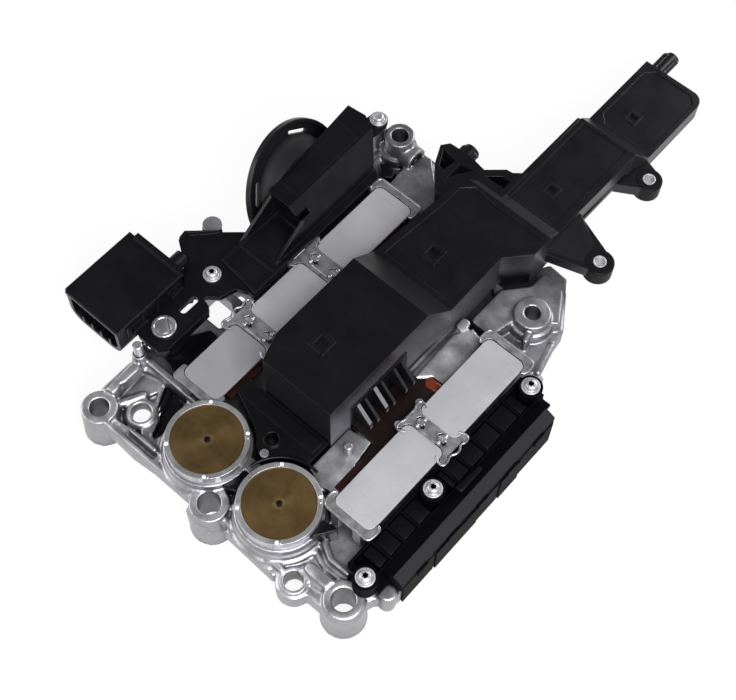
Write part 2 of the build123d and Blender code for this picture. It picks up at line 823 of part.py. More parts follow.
# Control unit housing: stepped side profile trimmed to the outline seen from above
with BuildPart() as control_housing:
    with BuildSketch(Plane.YZ.offset(-60)):
        with BuildLine():
            Polyline(
                (housing_front, housing_base), (housing_front, housing_top),
                (step_one_start, housing_top), (step_one_end, level_two_top),
                (level_two_end, level_two_top), (arm_start, arm_top), (arm_end, arm_top),
                (tip_start, tip_top), (tip_end, tip_top), (tip_end, tip_top - tip_depth),
                (tip_start - 8, tip_top - tip_depth), (arm_end - 8, arm_top - arm_depth),
                (level_two_end + 4, arm_top - arm_depth), (level_two_end + 4, housing_base),
                close=True,
            )
        make_face()
    extrude(amount=120)
    with BuildSketch(Plane.XY.offset(housing_base - 10)):
        with BuildLine():
            Polyline(
                (housing_left + corner_cut_x, housing_front), (housing_right, housing_front),
                (housing_right, step_one_start), (level_two_waist + 0.6, step_one_end),
                (level_two_waist, level_two_end - 33), (level_two_right, level_two_end - 16.5),
                (level_two_right, arm_start), (arm_right, arm_end), (tip_right, tip_start),
                (tip_right, tip_end), (arm_left - 1, tip_end), (arm_left - 1, tip_start),
                (arm_left, arm_end), (arm_left, level_two_end + 4), (-16, level_two_end + 4),
                (-25, level_two_end - 6), (-25, 242), (housing_left - 1, step_one_end),
                (housing_left, step_one_start), (housing_left, housing_front + corner_cut_y),
                close=True,
            )
        make_face()
        fillet(vertices().sort_by(Axis.Y)[-2:].sort_by(Axis.X)[-1:], tip_corner)
    extrude(amount=80, mode=Mode.INTERSECT)

    # Sloping fins on the right wall
    for fin_y in side_fin_rows:
        with BuildSketch(Plane.XZ.offset(-fin_y)):
            with BuildLine():
                Polyline(
                    (housing_right - 1, side_fin_top), (housing_right + side_fin_reach, side_fin_base + 4),
                    (housing_right + side_fin_reach, side_fin_base), (housing_right - 1, side_fin_base),
                    close=True,
                )
            make_face()
        extrude(amount=-side_fin_sheet)

    # Recessed panels on the lower levels
    with BuildSketch(Plane.XY.offset(level_two_top)):
        with BuildLine():
            Polyline(
                (housing_left + panel_inset, step_one_end + panel_inset),
                (level_two_waist - 2.4, step_one_end + panel_inset),
                (level_two_waist - 2.8, level_two_end - 32), (level_two_right - 3, level_two_end - 15),
                (level_two_right - 3, level_two_end - 4), (6, level_two_end - 4),
                (-13, level_two_end - 2), (-20, level_two_end - 9), (-20, 242),
                close=True,
            )
        make_face()
    extrude(amount=-panel_depth, mode=Mode.SUBTRACT)
    with BuildSketch(Plane.XY.offset(arm_top)):
        with Locations(((arm_left + arm_right) / 2 - 1.5, (arm_start + arm_end) / 2)):
            Rectangle(arm_right - arm_left - 10, arm_end - arm_start - 4)
    extrude(amount=-panel_depth, mode=Mode.SUBTRACT)
    with BuildSketch(Plane.XY.offset(tip_top)):
        with Locations(((arm_left + tip_right) / 2, (tip_start + tip_end) / 2)):
            Rectangle(tip_right - arm_left - 7, tip_end - tip_start - 7)
            chamfer(vertices(), 6)
    extrude(amount=-panel_depth, mode=Mode.SUBTRACT)

    # Square windows with raised frames
    for x, y, level, scale in (
        (-4.2, 106.3, housing_top, 1.0),
        (-1.6, 207.6, level_two_top - panel_depth, 1.0),
        (23.8, arm_start + 23, arm_top - panel_depth, 0.8),
        (24.1, tip_start + 20.3, tip_top - panel_depth, 0.8),
    ):
        with BuildSketch(Plane.XY.offset(level)):
            with Locations((x, y)):
                Rectangle((window_size + 2 * window_frame) * scale, (window_size + 2 * window_frame) * scale)
        extrude(amount=0.5)
        with BuildSketch(Plane.XY.offset(level + 0.5)):
            with Locations((x, y)):
                Rectangle(window_size * scale, window_size * scale)
        extrude(amount=-window_depth, mode=Mode.SUBTRACT)

    # Inside: chamber over the circuit board, and the hollow underside of the arm
    with BuildSketch(Plane.XY.offset(housing_base)):
        with BuildLine():
            Polyline(
                (housing_left + corner_cut_x + housing_wall, housing_front + housing_wall),
                (housing_right - housing_wall, housing_front + housing_wall),
                (housing_right - housing_wall, step_one_start - housing_wall),
                (housing_left + housing_wall, step_one_start - housing_wall),
                (housing_left + housing_wall, housing_front + corner_cut_y + housing_wall),
                close=True,
            )
        make_face()
    extrude(amount=housing_top - housing_wall - housing_base, mode=Mode.SUBTRACT)
    with BuildSketch(Plane.XY.offset(housing_base)):
        with Locations((2.5, (step_one_start + level_two_end) / 2)):
            Rectangle(52, level_two_end - step_one_start - 2 * housing_wall)
    extrude(amount=level_two_top - panel_depth - window_depth - housing_wall - housing_base, mode=Mode.SUBTRACT)
    with BuildSketch(Plane.XY.offset(arm_top - arm_depth)):
        with Locations(((arm_left + arm_right) / 2 - 1, (arm_start + arm_end) / 2)):
            with GridLocations(0, 26, 1, 3):
                Rectangle(arm_right - arm_left - 2 * housing_wall - 3, 26 - housing_wall)
    extrude(amount=arm_depth - housing_wall - window_depth - panel_depth, mode=Mode.SUBTRACT)
    with BuildSketch(Plane.XY.offset(tip_top - tip_depth)):
        with Locations(((arm_left + tip_right) / 2, (tip_start + tip_end) / 2)):
            with GridLocations(0, 28, 1, 2):
                Rectangle(tip_right - arm_left - 2 * housing_wall - 6, 28 - housing_wall)
    extrude(amount=tip_depth - housing_wall - window_depth - panel_depth, mode=Mode.SUBTRACT)

    # Fixing tabs with sockets for metal bushes
    for hole, top, root in (
        (tab_one_hole, tab_one_top, ((arm_right - 6, arm_end - 19), (arm_right - 6, arm_end + 17))),
        (tab_two_hole, tab_two_top, ((arm_right - 9, arm_start - 13), (arm_right - 9, arm_start + 31))),
    ):
        with BuildSketch(Plane.XY.offset(top - tab_thickness)):
            with BuildLine():
                Polyline(
                    root[0], (hole[0] + 2, hole[1] - tab_lobe), (hole[0] + tab_lobe, hole[1]),
                    (hole[0] + 2, hole[1] + tab_lobe), root[1],
                    close=True,
                )
            make_face()
            with Locations(hole):
                Circle(tab_lobe)
        extrude(amount=tab_thickness)
        with Locations((hole[0], hole[1], top)):
            Hole(tab_bush_radius + seat_clearance, tab_thickness)

    # Locating pegs
    with BuildSketch(Plane.XZ.offset(-tip_end)):
        with Locations((13, tip_top - tip_depth / 2 + 1)):
            Circle(peg_radius)
            Rectangle(2 * peg_radius, peg_slot, mode=Mode.SUBTRACT)
    extrude(amount=-peg_length)
    # Bracket at the left rear corner with closed pockets, and its peg
    with BuildSketch(Plane.XY.offset(level_two_top - 16)):
        with BuildLine():
            Polyline(
                (-24, 246), (-31.7, 246), (-46, 263), (-52, 275.5), (-48, 281), (-32, 282),
                (-18, 279.5), (-7, 289.5), (-2.6, 290), (4.6, 296), (4.6, 268), (-16, 268), (-24, 258),
                close=True,
            )
        make_face()
    extrude(amount=14)
    with BuildSketch(Plane.XY.offset(level_two_top - 2)):
        with BuildLine():
            Polyline((-48.5, 274.5), (-36.5, 273), (-38, 262), (-42, 262.5), close=True)
        make_face()
        with BuildLine():
            Polyline((-33, 272.5), (-21.5, 275), (-28.5, 266), (-32, 258.5), close=True)
        make_face()
        with BuildLine():
            Polyline((-14, 276), (-5, 284), (0.5, 284), (0.5, 276), close=True)
        make_face()
    extrude(amount=-11, mode=Mode.SUBTRACT)
    with BuildSketch(Plane.XZ.offset(-279)):
        with Locations((-36, level_two_top - 9)):
            Circle(peg_radius + 0.7)
            Rectangle(2 * peg_radius + 2, peg_slot, mode=Mode.SUBTRACT)
    extrude(amount=-11)
control_housing.part.label = "control_housing"
export_step(control_housing.part, "parts/control_housing.step")

# Base plate under the housing, with the front flange
with BuildPart() as base_plate:
    with BuildSketch(Plane.XY.offset(deck_top)):
        with BuildLine():
            Polyline(
                (housing_left + corner_cut_x, housing_front), (housing_right, housing_front),
                (housing_right, step_one_start), (housing_right, level_two_end),
                (-20, level_two_end - 4), (-25, 242), (housing_left, step_one_start),
                (housing_left, housing_front + corner_cut_y),
                close=True,
            )
        make_face()
    extrude(amount=base_plate_depth)
base_plate.part.label = "base_plate"
export_step(base_plate.part, "parts/base_plate.step")

# Circuit board in the chamber
with BuildPart() as circuit_board:
    with BuildSketch(Plane.XY.offset(housing_base)):
        with Locations((1.0, (housing_front + step_one_start) / 2 + 8)):
            Rectangle(50, 58)
    extrude(amount=board_thickness)
    with BuildSketch(Plane.XY.offset(housing_base + board_thickness)):
        with Locations((1.0, 132)):
            Rectangle(18, 18)
        with Locations((-14, 112), (16, 112)):
            Rectangle(10, 12)
    extrude(amount=2.4)
circuit_board.part.label = "circuit_board"
export_step(circuit_board.part, "parts/circuit_board.step")

# Metal bushes in the fixing tabs
with BuildPart() as tab_bushes:
    for hole, top in ((tab_one_hole, tab_one_top), (tab_two_hole, tab_two_top)):
        with BuildSketch(Plane.XY.offset(top - tab_thickness - tab_bush_proud)):
            with Locations(hole):
                Circle(tab_bush_radius)
                Circle(tab_bush_bore, mode=Mode.SUBTRACT)
        extrude(amount=tab_thickness + 2 * tab_bush_proud)
tab_bushes.part.label = "tab_bushes"
export_step(tab_bushes.part, "parts/tab_bushes.step")

# Front flange cover between the accumulators and the control unit
with BuildPart() as front_cover:
    with BuildSketch(Plane.XY.offset(deck_top)):
        with BuildLine():
            Polyline((-35, 62), (-35, 73.5), (30.5, 73.5), (30.5, 56), (4, 40), (-20, 56), close=True)
        make_face()
        with Locations(accumulator_left, accumulator_right):
            Circle(tower_foot_radius + piece_gap, mode=Mode.SUBTRACT)
    extrude(amount=17.5)
    with BuildSketch(Plane.XY.offset(deck_top + 17.5)):
        with Locations((3.4, 52.6)):
            Circle(5.6)
            Circle(4.0, mode=Mode.SUBTRACT)
        with Locations((0, 66)):
            Rectangle(56, 9)
    extrude(amount=1.5)
    with Locations((3.4, 52.6, deck_top + 19)):
        Hole(4.0, 12)
front_cover.part.label = "front_cover"
export_step(front_cover.part, "parts/front_cover.step")

# Side bracket: plate with boss, slot and the foot of the plug connector
bracket_top = bracket_level + bracket_thickness
with BuildPart() as side_bracket:
    with BuildSketch(Plane.XY.offset(bracket_level)):
        with BuildLine():
            Polyline(
                (-110.3, 50), (-106, 47.5), (-88, 47.5), (-84, 52), (-84, 88), (-88, 92),
                (-96, 94), (-87, 101.5), (-84, 112.5), (-76.5, 116), (-70.6, 116), (-70.6, 147),
                (-75.6, 147.4), (-75.6, 162), (-96, 162), (-100, 152.5), (-107, 149), (-138, 121), (-137, 114), (-122, 104), (-110.3, 92),
                close=True,
            )
        make_face()
        fillet(vertices(), 1.5)
        with Locations(bush_center):
            Circle(bracket_boss_radius)
    extrude(amount=bracket_thickness)
    with BuildSketch(Plane.XY.offset(bracket_level)):
        with Locations(bush_center):
            Circle(bracket_boss_radius)
    extrude(amount=bracket_boss_base - bracket_level)
    # Raised edges on the outer sides
    with BuildSketch(Plane.XY.offset(bracket_top)):
        with BuildLine():
            Polyline(
                (-136.5, 114.5), (-137.5, 120.5), (-109, 147), (-110.5, 147), (-134.5, 121),
                (-134, 115.5),
                close=True,
            )
        make_face()
        with Locations((-84.8, 70)):
            Rectangle(1.6, 34)
    extrude(amount=bracket_edge_height)
    # Lobe under the sensor cap
    with BuildSketch(Plane.XY.offset(bracket_level - cap_lobe_depth)):
        with Locations(sensor_cap):
            Circle(cap_radius - 1)
        with BuildLine():
            Polyline((-134.5, 133), (-126, 142), (-115, 134), (-124, 122), close=True)
        make_face()
    extrude(amount=cap_lobe_depth)
    with Locations((bush_center[0], bush_center[1], bracket_top)):
        Hole(bush_radius + seat_clearance, bracket_top - bracket_boss_base)
    with BuildSketch(Plane.XY.offset(bracket_top)):
        with Locations(slot_center):
            SlotOverall(slot_length, slot_width, rotation=90)
    extrude(amount=-bracket_thickness, mode=Mode.SUBTRACT)
    with Locations((bracket_screw[0], bracket_screw[1], bracket_top)):
        Hole(screw_radius + screw_clearance, bracket_thickness)
side_bracket.part.label = "side_bracket"
export_step(side_bracket.part, "parts/side_bracket.step")

# Round metal cap on the outer lobe of the bracket
with BuildPart() as sensor_cap_disc:
    with BuildSketch(Plane.XY.offset(bracket_level)):
        with Locations(sensor_cap):
            Circle(cap_radius)
    extrude(amount=cap_height)
    chamfer(sensor_cap_disc.faces().sort_by(Axis.Z)[-1].edges(), 0.5)
sensor_cap_disc.part.label = "sensor_cap"
export_step(sensor_cap_disc.part, "parts/sensor_cap.step")

# Split metal bush
with BuildPart() as bracket_bush:
    with BuildSketch(Plane.XY.offset(bush_base)):
        with Locations(bush_center):
            Circle(bush_radius)
            Circle(bush_bore, mode=Mode.SUBTRACT)
    extrude(amount=bush_top - bush_base)
bracket_bush.part.label = "bracket_bush"
export_step(bracket_bush.part, "parts/bracket_bush.step")

# Terminal box: lid over a shell with rounded lower corners and an open mouth
terminal_x = terminal_right - terminal_width / 2
terminal_y = terminal_front + terminal_length / 2
lid_base = terminal_top - terminal_lid
with BuildPart() as terminal_box:
    shell_plane = Plane.XZ.offset(-(terminal_front + 1))
    shell_middle = (terminal_base + lid_base) / 2
    with BuildSketch(shell_plane):
        with Locations((terminal_x, shell_middle)):
            Rectangle(terminal_width - 2, lid_base - terminal_base)
        fillet(vertices().group_by(Axis.Y)[0], shroud_corner)
    extrude(amount=-(terminal_length - 2))
    with BuildSketch(shell_plane):
        with Locations((terminal_x, shell_middle)):
            Rectangle(terminal_width - 2 - 2 * shroud_wall, lid_base - terminal_base - 2 * shroud_wall)
        fillet(vertices().group_by(Axis.Y)[0], shroud_corner - shroud_wall)
    extrude(amount=-mouth_depth, mode=Mode.SUBTRACT)
    # Comb of fins on the floor of the mouth
    with BuildSketch(Plane.XY.offset(terminal_base + shroud_wall - 1)):
        with Locations((terminal_x, terminal_front + 1 + mouth_fin_depth / 2)):
            with GridLocations(8, 0, 4, 1):
                Rectangle(mouth_fin, mouth_fin_depth)
    extrude(amount=mouth_fin_height)
    with BuildSketch(Plane.XY.offset(bracket_top)):
        for step in range(4):
            with Locations((terminal_right, terminal_front + 8 + 13 * step)):
                Rectangle(2.4, 1.6)
    extrude(amount=lid_base - bracket_top)
    # Foot that rests on the bracket
    with BuildSketch(Plane.XY.offset(bracket_top)):
        with Locations((terminal_right, 52)):
            Rectangle(6, 12)
        with Locations((terminal_right, 84)):
            Rectangle(6, 10)
    extrude(amount=6)
    # Round gland at the back of the shell
    with BuildSketch(Plane.XZ.offset(-(terminal_front + terminal_length - 2))):
        with Locations(gland_center):
            Circle(gland_radius)
    extrude(amount=-gland_length)
terminal_box.part.label = "terminal_box"
export_step(terminal_box.part, "parts/terminal_box.step")

with BuildPart() as terminal_lid_plate:
    with BuildSketch(Plane.XY.offset(lid_base)):
        with Locations((terminal_x, terminal_y)):
            Rectangle(terminal_width, terminal_length)
            chamfer(vertices().sort_by(Axis.X)[:1], 2)
    extrude(amount=terminal_lid)
    chamfer(terminal_lid_plate.faces().sort_by(Axis.Z)[-1].edges(), 0.6)
    # Rail along the back edge
    with BuildSketch(Plane.XY.offset(lid_base)):
        with Locations((terminal_x + 2, terminal_front + terminal_length)):
            Rectangle(terminal_width - 8, 4)
    extrude(amount=terminal_lid + lid_rail_height)
terminal_lid_plate.part.label = "terminal_lid"
export_step(terminal_lid_plate.part, "parts/terminal_lid.step")

# Round plug connector: sleeve, spoked flange, long box and fixing ear in one moulding
plug_plane = Plane(
    Location(plug_center, (0, 0, plug_turn)) * Location((0, 0, 0), (0, -90 - plug_tilt, 0))
)
with BuildPart() as plug_housing:
    # Long box on top of the sleeve, sloped on its inner side
    with BuildSketch(Plane.XY.offset(plug_box_base)):
        with BuildLine():
            Polyline(
                (-115, 254.5), (-107, 169.5), (-76.5, 169.5), (-77.5, 238), (-89, 250), (-101, 256),
                close=True,
            )
        make_face()
    extrude(amount=plug_box_top - plug_box_base)
    inner_edge = plug_housing.faces().sort_by(Axis.Z)[-1].edges().sort_by(Axis.X)[-1:]
    chamfer(inner_edge, plug_slope)
    # Recess in the front end of the box
    with BuildSketch(Plane.XZ.offset(-169.5)):
        with Locations((-92, (plug_box_base + plug_box_top) / 2 - 1)):
            Rectangle(22, 14)
    extrude(amount=-10, mode=Mode.SUBTRACT)
    with BuildSketch(plug_plane.offset(-plug_length)):
        Circle(plug_body_radius)
    extrude(amount=plug_length + 8)
    # Flange web with a raised rim, a stepped hub and four slots
    with BuildSketch(plug_plane.offset(-plug_flange_web)):
        Circle(plug_flange_radius)
        with PolarLocations(plug_slot_radius, plug_slots, start_angle=35):
            SlotOverall(plug_slot_length, plug_slot_width, rotation=90, mode=Mode.SUBTRACT)
    extrude(amount=plug_flange_web)
    with BuildSketch(plug_plane.offset(-plug_flange_sheet)):
        Circle(plug_flange_radius)
        Circle(plug_flange_radius - plug_rim, mode=Mode.SUBTRACT)
    extrude(amount=plug_flange_sheet)
    with BuildSketch(plug_plane.offset(-plug_hub_depth)):
        Circle(plug_hub_radius)
        Circle(plug_body_radius - 1, mode=Mode.SUBTRACT)
    extrude(amount=plug_hub_depth)
    # Webs from the box down to the bracket
    with BuildSketch(Plane.YZ.offset(-106.8)):
        with BuildLine():
            Polyline((169.5, plug_box_base), (169.5, plug_box_top - 3), (139, plug_box_base), close=True)
        make_face()
    extrude(amount=2.2)
    with BuildSketch(Plane.YZ.offset(-78.5)):
        with BuildLine():
            Polyline((169.5, plug_box_base), (169.5, plug_box_top - 3), (139, plug_box_base), close=True)
        make_face()
    extrude(amount=2.2)
    # Foot plate over the bracket with a raised rim
    with BuildSketch(Plane.XY.offset(plug_box_base)):
        with BuildLine():
            Polyline(
                (-104.5, 120.5), (-71.5, 117), (-71.5, 236), (-78, 240), (-90, 240), (-104.5, 180),
                close=True,
            )
        make_face()
    extrude(amount=plug_foot_sheet)
    with BuildSketch(Plane.XY.offset(plug_box_base + plug_foot_sheet)):
        with BuildLine():
            Polyline((-104.5, 120.5), (-71.5, 117), (-71.5, 170), (-104.5, 170), close=True)
        make_face()
        with BuildLine():
            Polyline((-102.3, 122.5), (-73.5, 119.3), (-73.5, 136), (-102.3, 136), close=True)
        make_face(mode=Mode.SUBTRACT)
        with BuildLine():
            Polyline((-102.3, 138), (-73.5, 138), (-73.5, 172), (-102.3, 172), close=True)
        make_face(mode=Mode.SUBTRACT)
    extrude(amount=plug_foot_rim)
    # Fixing ear
    with BuildSketch(Plane.XY.offset(plug_ear_level)):
        with Locations(plug_screw):
            Circle(plug_ear_radius)
        with BuildLine():
            Polyline((-108, 270), (-112, 250), (-96, 250), (-95.5, 268), close=True)
        make_face()
    extrude(amount=plug_ear_thickness)
    with Locations((plug_screw[0], plug_screw[1], plug_ear_level + plug_ear_thickness)):
        Hole(screw_radius + screw_clearance, plug_ear_thickness)
    # Socket
    with BuildSketch(plug_plane.offset(8)):
        Circle(plug_body_radius - plug_wall)
    extrude(amount=-(plug_length - 4), mode=Mode.SUBTRACT)
plug_housing.part.label = "plug_housing"
export_step(plug_housing.part, "parts/plug_housing.step")

with BuildPart() as plug_seal:
    with BuildSketch(plug_plane.offset(2)):
        Circle(plug_body_radius + piece_gap + seal_height)
        Circle(plug_body_radius + piece_gap, mode=Mode.SUBTRACT)
    extrude(amount=seal_width)
plug_seal.part.label = "plug_seal"
export_step(plug_seal.part, "parts/plug_seal.step")

socket_floor = 8 - (plug_length - 4)
with BuildPart() as plug_contacts:
    with BuildSketch(plug_plane.offset(socket_floor)):
        with PolarLocations(12, 8):
            Circle(contact_radius)
        with PolarLocations(19, 12):
            Circle(contact_radius)
    extrude(amount=contact_length)
plug_contacts.part.label = "plug_contacts"
export_step(plug_contacts.part, "parts/plug_contacts.step")

# Harness cover along the right side: ribbed tray with screw pads and a gabled duct
with BuildPart() as harness_cover:
    tray_center = ((cover_left + cover_right) / 2, (cover_front + cover_back) / 2 + 3)
    with BuildSketch(Plane.XY.offset(cover_base)):
        with Locations((tray_center[0] + 3, tray_center[1])):
            Rectangle(cover_right - cover_left + 6, cover_back - cover_front - 12)
        with Locations(*cover_screws):
            Circle(cover_pad_radius)
    extrude(amount=cover_floor)
    with BuildSketch(Plane.XY.offset(cover_base)):
        with Locations(*cover_screws):
            Circle(cover_pad_radius)
    extrude(amount=cover_pad_top - cover_base)
    # Rim and cross ribs
    with BuildSketch(Plane.XY.offset(cover_base)):
        with Locations(tray_center):
            Rectangle(cover_right - cover_left, cover_back - cover_front - 12)
            Rectangle(cover_right - cover_left - 4, cover_back - cover_front - 16, mode=Mode.SUBTRACT)
        for y in (44, 57, 70, 107, 119, 134, 150, 166):
            with Locations((tray_center[0], y)):
                Rectangle(cover_right - cover_left, 1.8)
    extrude(amount=cover_rib_top - cover_base)
    # Gabled duct
    with BuildSketch(Plane.XZ.offset(-duct_front)):
        with BuildLine():
            Polyline(
                (cover_right - 1, cover_base), (cover_right - 1, cover_rib_top),
                (duct_ridge_x, duct_ridge_top), (duct_right, duct_edge_top),
                (duct_right, cover_base + 4), (strip_right, cover_base),
                close=True,
            )
        make_face()
    extrude(amount=-(duct_back - duct_front))
    # Stepped skirt in front of the casting
    for y, length, sheet in skirt_panels:
        with BuildSketch(Plane.XY.offset(skirt_base)):
            with Locations((strip_right + piece_gap + sheet / 2, y)):
                Rectangle(sheet, length)
        extrude(amount=cover_base + 6 - skirt_base)
    # Latch lugs on the outer wall
    with BuildSketch(Plane.XY.offset(cover_base + 4)):
        for y in latch_rows:
            with Locations((duct_right, y)):
                Rectangle(latch_reach * 2, 9)
    extrude(amount=5)
    for x, y in cover_screws:
        with Locations((x, y, cover_pad_top)):
            Hole(screw_radius + screw_clearance, cover_pad_top - cover_base)
harness_cover.part.label = "harness_cover"
export_step(harness_cover.part, "parts/harness_cover.step")

# Locating pin and screws
with BuildPart() as locating_pin_part:
    with BuildSketch(Plane.XY.offset(pin_cone_top - pin_depth)):
        with Locations(locating_pin):
            Circle(pin_shank_radius)
    extrude(amount=pin_depth + pin_shoulder)
    with BuildSketch(Plane.XY.offset(pin_cone_top + pin_shoulder)):
        with Locations(locating_pin):
            Circle(pin_radius)
    extrude(amount=pin_top - pin_cone_top - pin_shoulder)
    chamfer(locating_pin_part.faces().sort_by(Axis.Z)[-1].edges(), 0.6)
locating_pin_part.part.label = "locating_pin"
export_step(locating_pin_part.part, "parts/locating_pin.step")

screw_seats = [(x, y, cover_pad_top, cover_screw_length) for x, y in cover_screws]
screw_seats.append((*bracket_screw, bracket_top, bracket_screw_length))
screw_seats.append((*plug_screw, plug_ear_level + plug_ear_thickness, plug_screw_length))
with BuildPart() as flange_screws:
    for x, y, seat, length in screw_seats:
        with BuildSketch(Plane.XY.offset(seat)):
            with Locations((x, y)):
                Circle(screw_head_radius)
        extrude(amount=screw_head_sheet)
        with BuildSketch(Plane.XY.offset(seat + screw_head_sheet)):
            with Locations((x, y)):
                Circle(screw_cap_radius)
        extrude(amount=screw_cap_depth - screw_head_sheet)
        with BuildSketch(Plane.XY.offset(seat + screw_cap_depth)):
            with Locations((x, y)):
                RegularPolygon(screw_socket, 6)
        extrude(amount=-2.4, mode=Mode.SUBTRACT)
        with BuildSketch(Plane.XY.offset(seat)):
            with Locations((x, y)):
                Circle(screw_radius)
        extrude(amount=-length)
flange_screws.part.label = "flange_screws"
export_step(flange_screws.part, "parts/flange_screws.step")

with BuildPart() as body_screw_set:
    head_seat = lower_body_base + screw_cap_depth + screw_head_sheet
    with BuildSketch(Plane.XY.offset(head_seat)):
        with Locations(*body_screws):
            Circle(screw_radius)
    extrude(amount=deck_base + body_screw_reach - 1 - head_seat)
    with BuildSketch(Plane.XY.offset(head_seat)):
        with Locations(*body_screws):
            Circle(screw_head_radius)
    extrude(amount=-screw_head_sheet)
    with BuildSketch(Plane.XY.offset(head_seat - screw_head_sheet)):
        with Locations(*body_screws):
            Circle(screw_cap_radius)
            RegularPolygon(screw_socket, 6, mode=Mode.SUBTRACT)
    extrude(amount=-(screw_cap_depth - screw_head_sheet))
body_screw_set.part.label = "body_screws"
export_step(body_screw_set.part, "parts/body_screws.step")
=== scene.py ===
import math

import bmesh
import bpy
from mathutils import Matrix, Vector


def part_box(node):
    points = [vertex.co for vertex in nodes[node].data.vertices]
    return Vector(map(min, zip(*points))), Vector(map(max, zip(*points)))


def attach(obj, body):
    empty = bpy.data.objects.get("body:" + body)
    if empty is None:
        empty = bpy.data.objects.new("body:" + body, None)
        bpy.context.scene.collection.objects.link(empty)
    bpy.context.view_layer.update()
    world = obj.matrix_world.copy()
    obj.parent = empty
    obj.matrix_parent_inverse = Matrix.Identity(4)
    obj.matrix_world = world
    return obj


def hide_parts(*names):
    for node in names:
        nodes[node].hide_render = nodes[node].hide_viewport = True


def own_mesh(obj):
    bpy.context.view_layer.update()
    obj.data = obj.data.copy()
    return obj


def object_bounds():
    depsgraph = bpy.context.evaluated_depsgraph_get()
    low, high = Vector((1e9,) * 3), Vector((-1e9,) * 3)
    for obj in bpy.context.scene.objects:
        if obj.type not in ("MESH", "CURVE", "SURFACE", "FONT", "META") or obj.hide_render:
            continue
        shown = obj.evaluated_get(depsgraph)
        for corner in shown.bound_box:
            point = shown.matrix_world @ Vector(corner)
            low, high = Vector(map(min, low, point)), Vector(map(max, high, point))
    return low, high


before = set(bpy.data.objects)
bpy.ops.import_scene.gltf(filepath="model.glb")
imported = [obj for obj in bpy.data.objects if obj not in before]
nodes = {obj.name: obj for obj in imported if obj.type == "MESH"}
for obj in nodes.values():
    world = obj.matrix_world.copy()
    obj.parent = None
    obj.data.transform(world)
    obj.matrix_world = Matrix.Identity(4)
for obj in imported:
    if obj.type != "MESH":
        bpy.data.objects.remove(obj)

cadBounds = [list(corner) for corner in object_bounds()]
mm = 0.001
print("frame loaded with", len(nodes), "nodes")


def linear(code):
    # sRGB hex to the linear colour that the shader takes
    values = [int(code[i:i + 2], 16) / 255 for i in (1, 3, 5)]
    return [v / 12.92 if v <= 0.04045 else ((v + 0.055) / 1.055) ** 2.4 for v in values] + [1.0]


def addNode(tree, kind, settings=None, **sockets):
    # a node with its settings; a socket value is either a number or another node's output
    made = tree.nodes.new(kind)
    for key, value in (settings or {}).items():
        setattr(made, key, value)
    for key, value in sockets.items():
        name = int(key[1:]) if key[0] == "_" else key.replace("_", " ")
        socket = made.inputs[name]
        if isinstance(value, bpy.types.NodeSocket):
            tree.links.new(value, socket)
        else:
            socket.default_value = value
    return made


def newMaterial(name):
    material = bpy.data.materials.new(name)
    material.use_nodes = True
    tree = material.node_tree
    shader = tree.nodes["Principled BSDF"]
    place = addNode(tree, "ShaderNodeTexCoord").outputs["Object"]
    return material, tree, shader, place


def perMm(size):
    # texture scale whose features are about this many millimetres
    return 1.0 / (size * mm)


# in castLook the recess, upright wall and rear colours are painted shade
castLook = dict(
    bright="#CFCED2", dull="#A6A5AA", stain="#7D7B82", recessShade="#343337", metallic=0.85, roughness=0.38,
    grain=0.8, swell=5.0, patch=15.0, grainDepth=0.14, swellDepth=0.12, edge=0.5, corner=14.0,
    wall="#77767B", wallShare=0.6, rearShade="#5E5D62", rearShadeShare=0.5, rearShadeFrom=185.0, rearShadeTo=240.0,
    stainShare=0.45, recessShadeShare=0.9, glossier=0.08, duller=0.12,
)


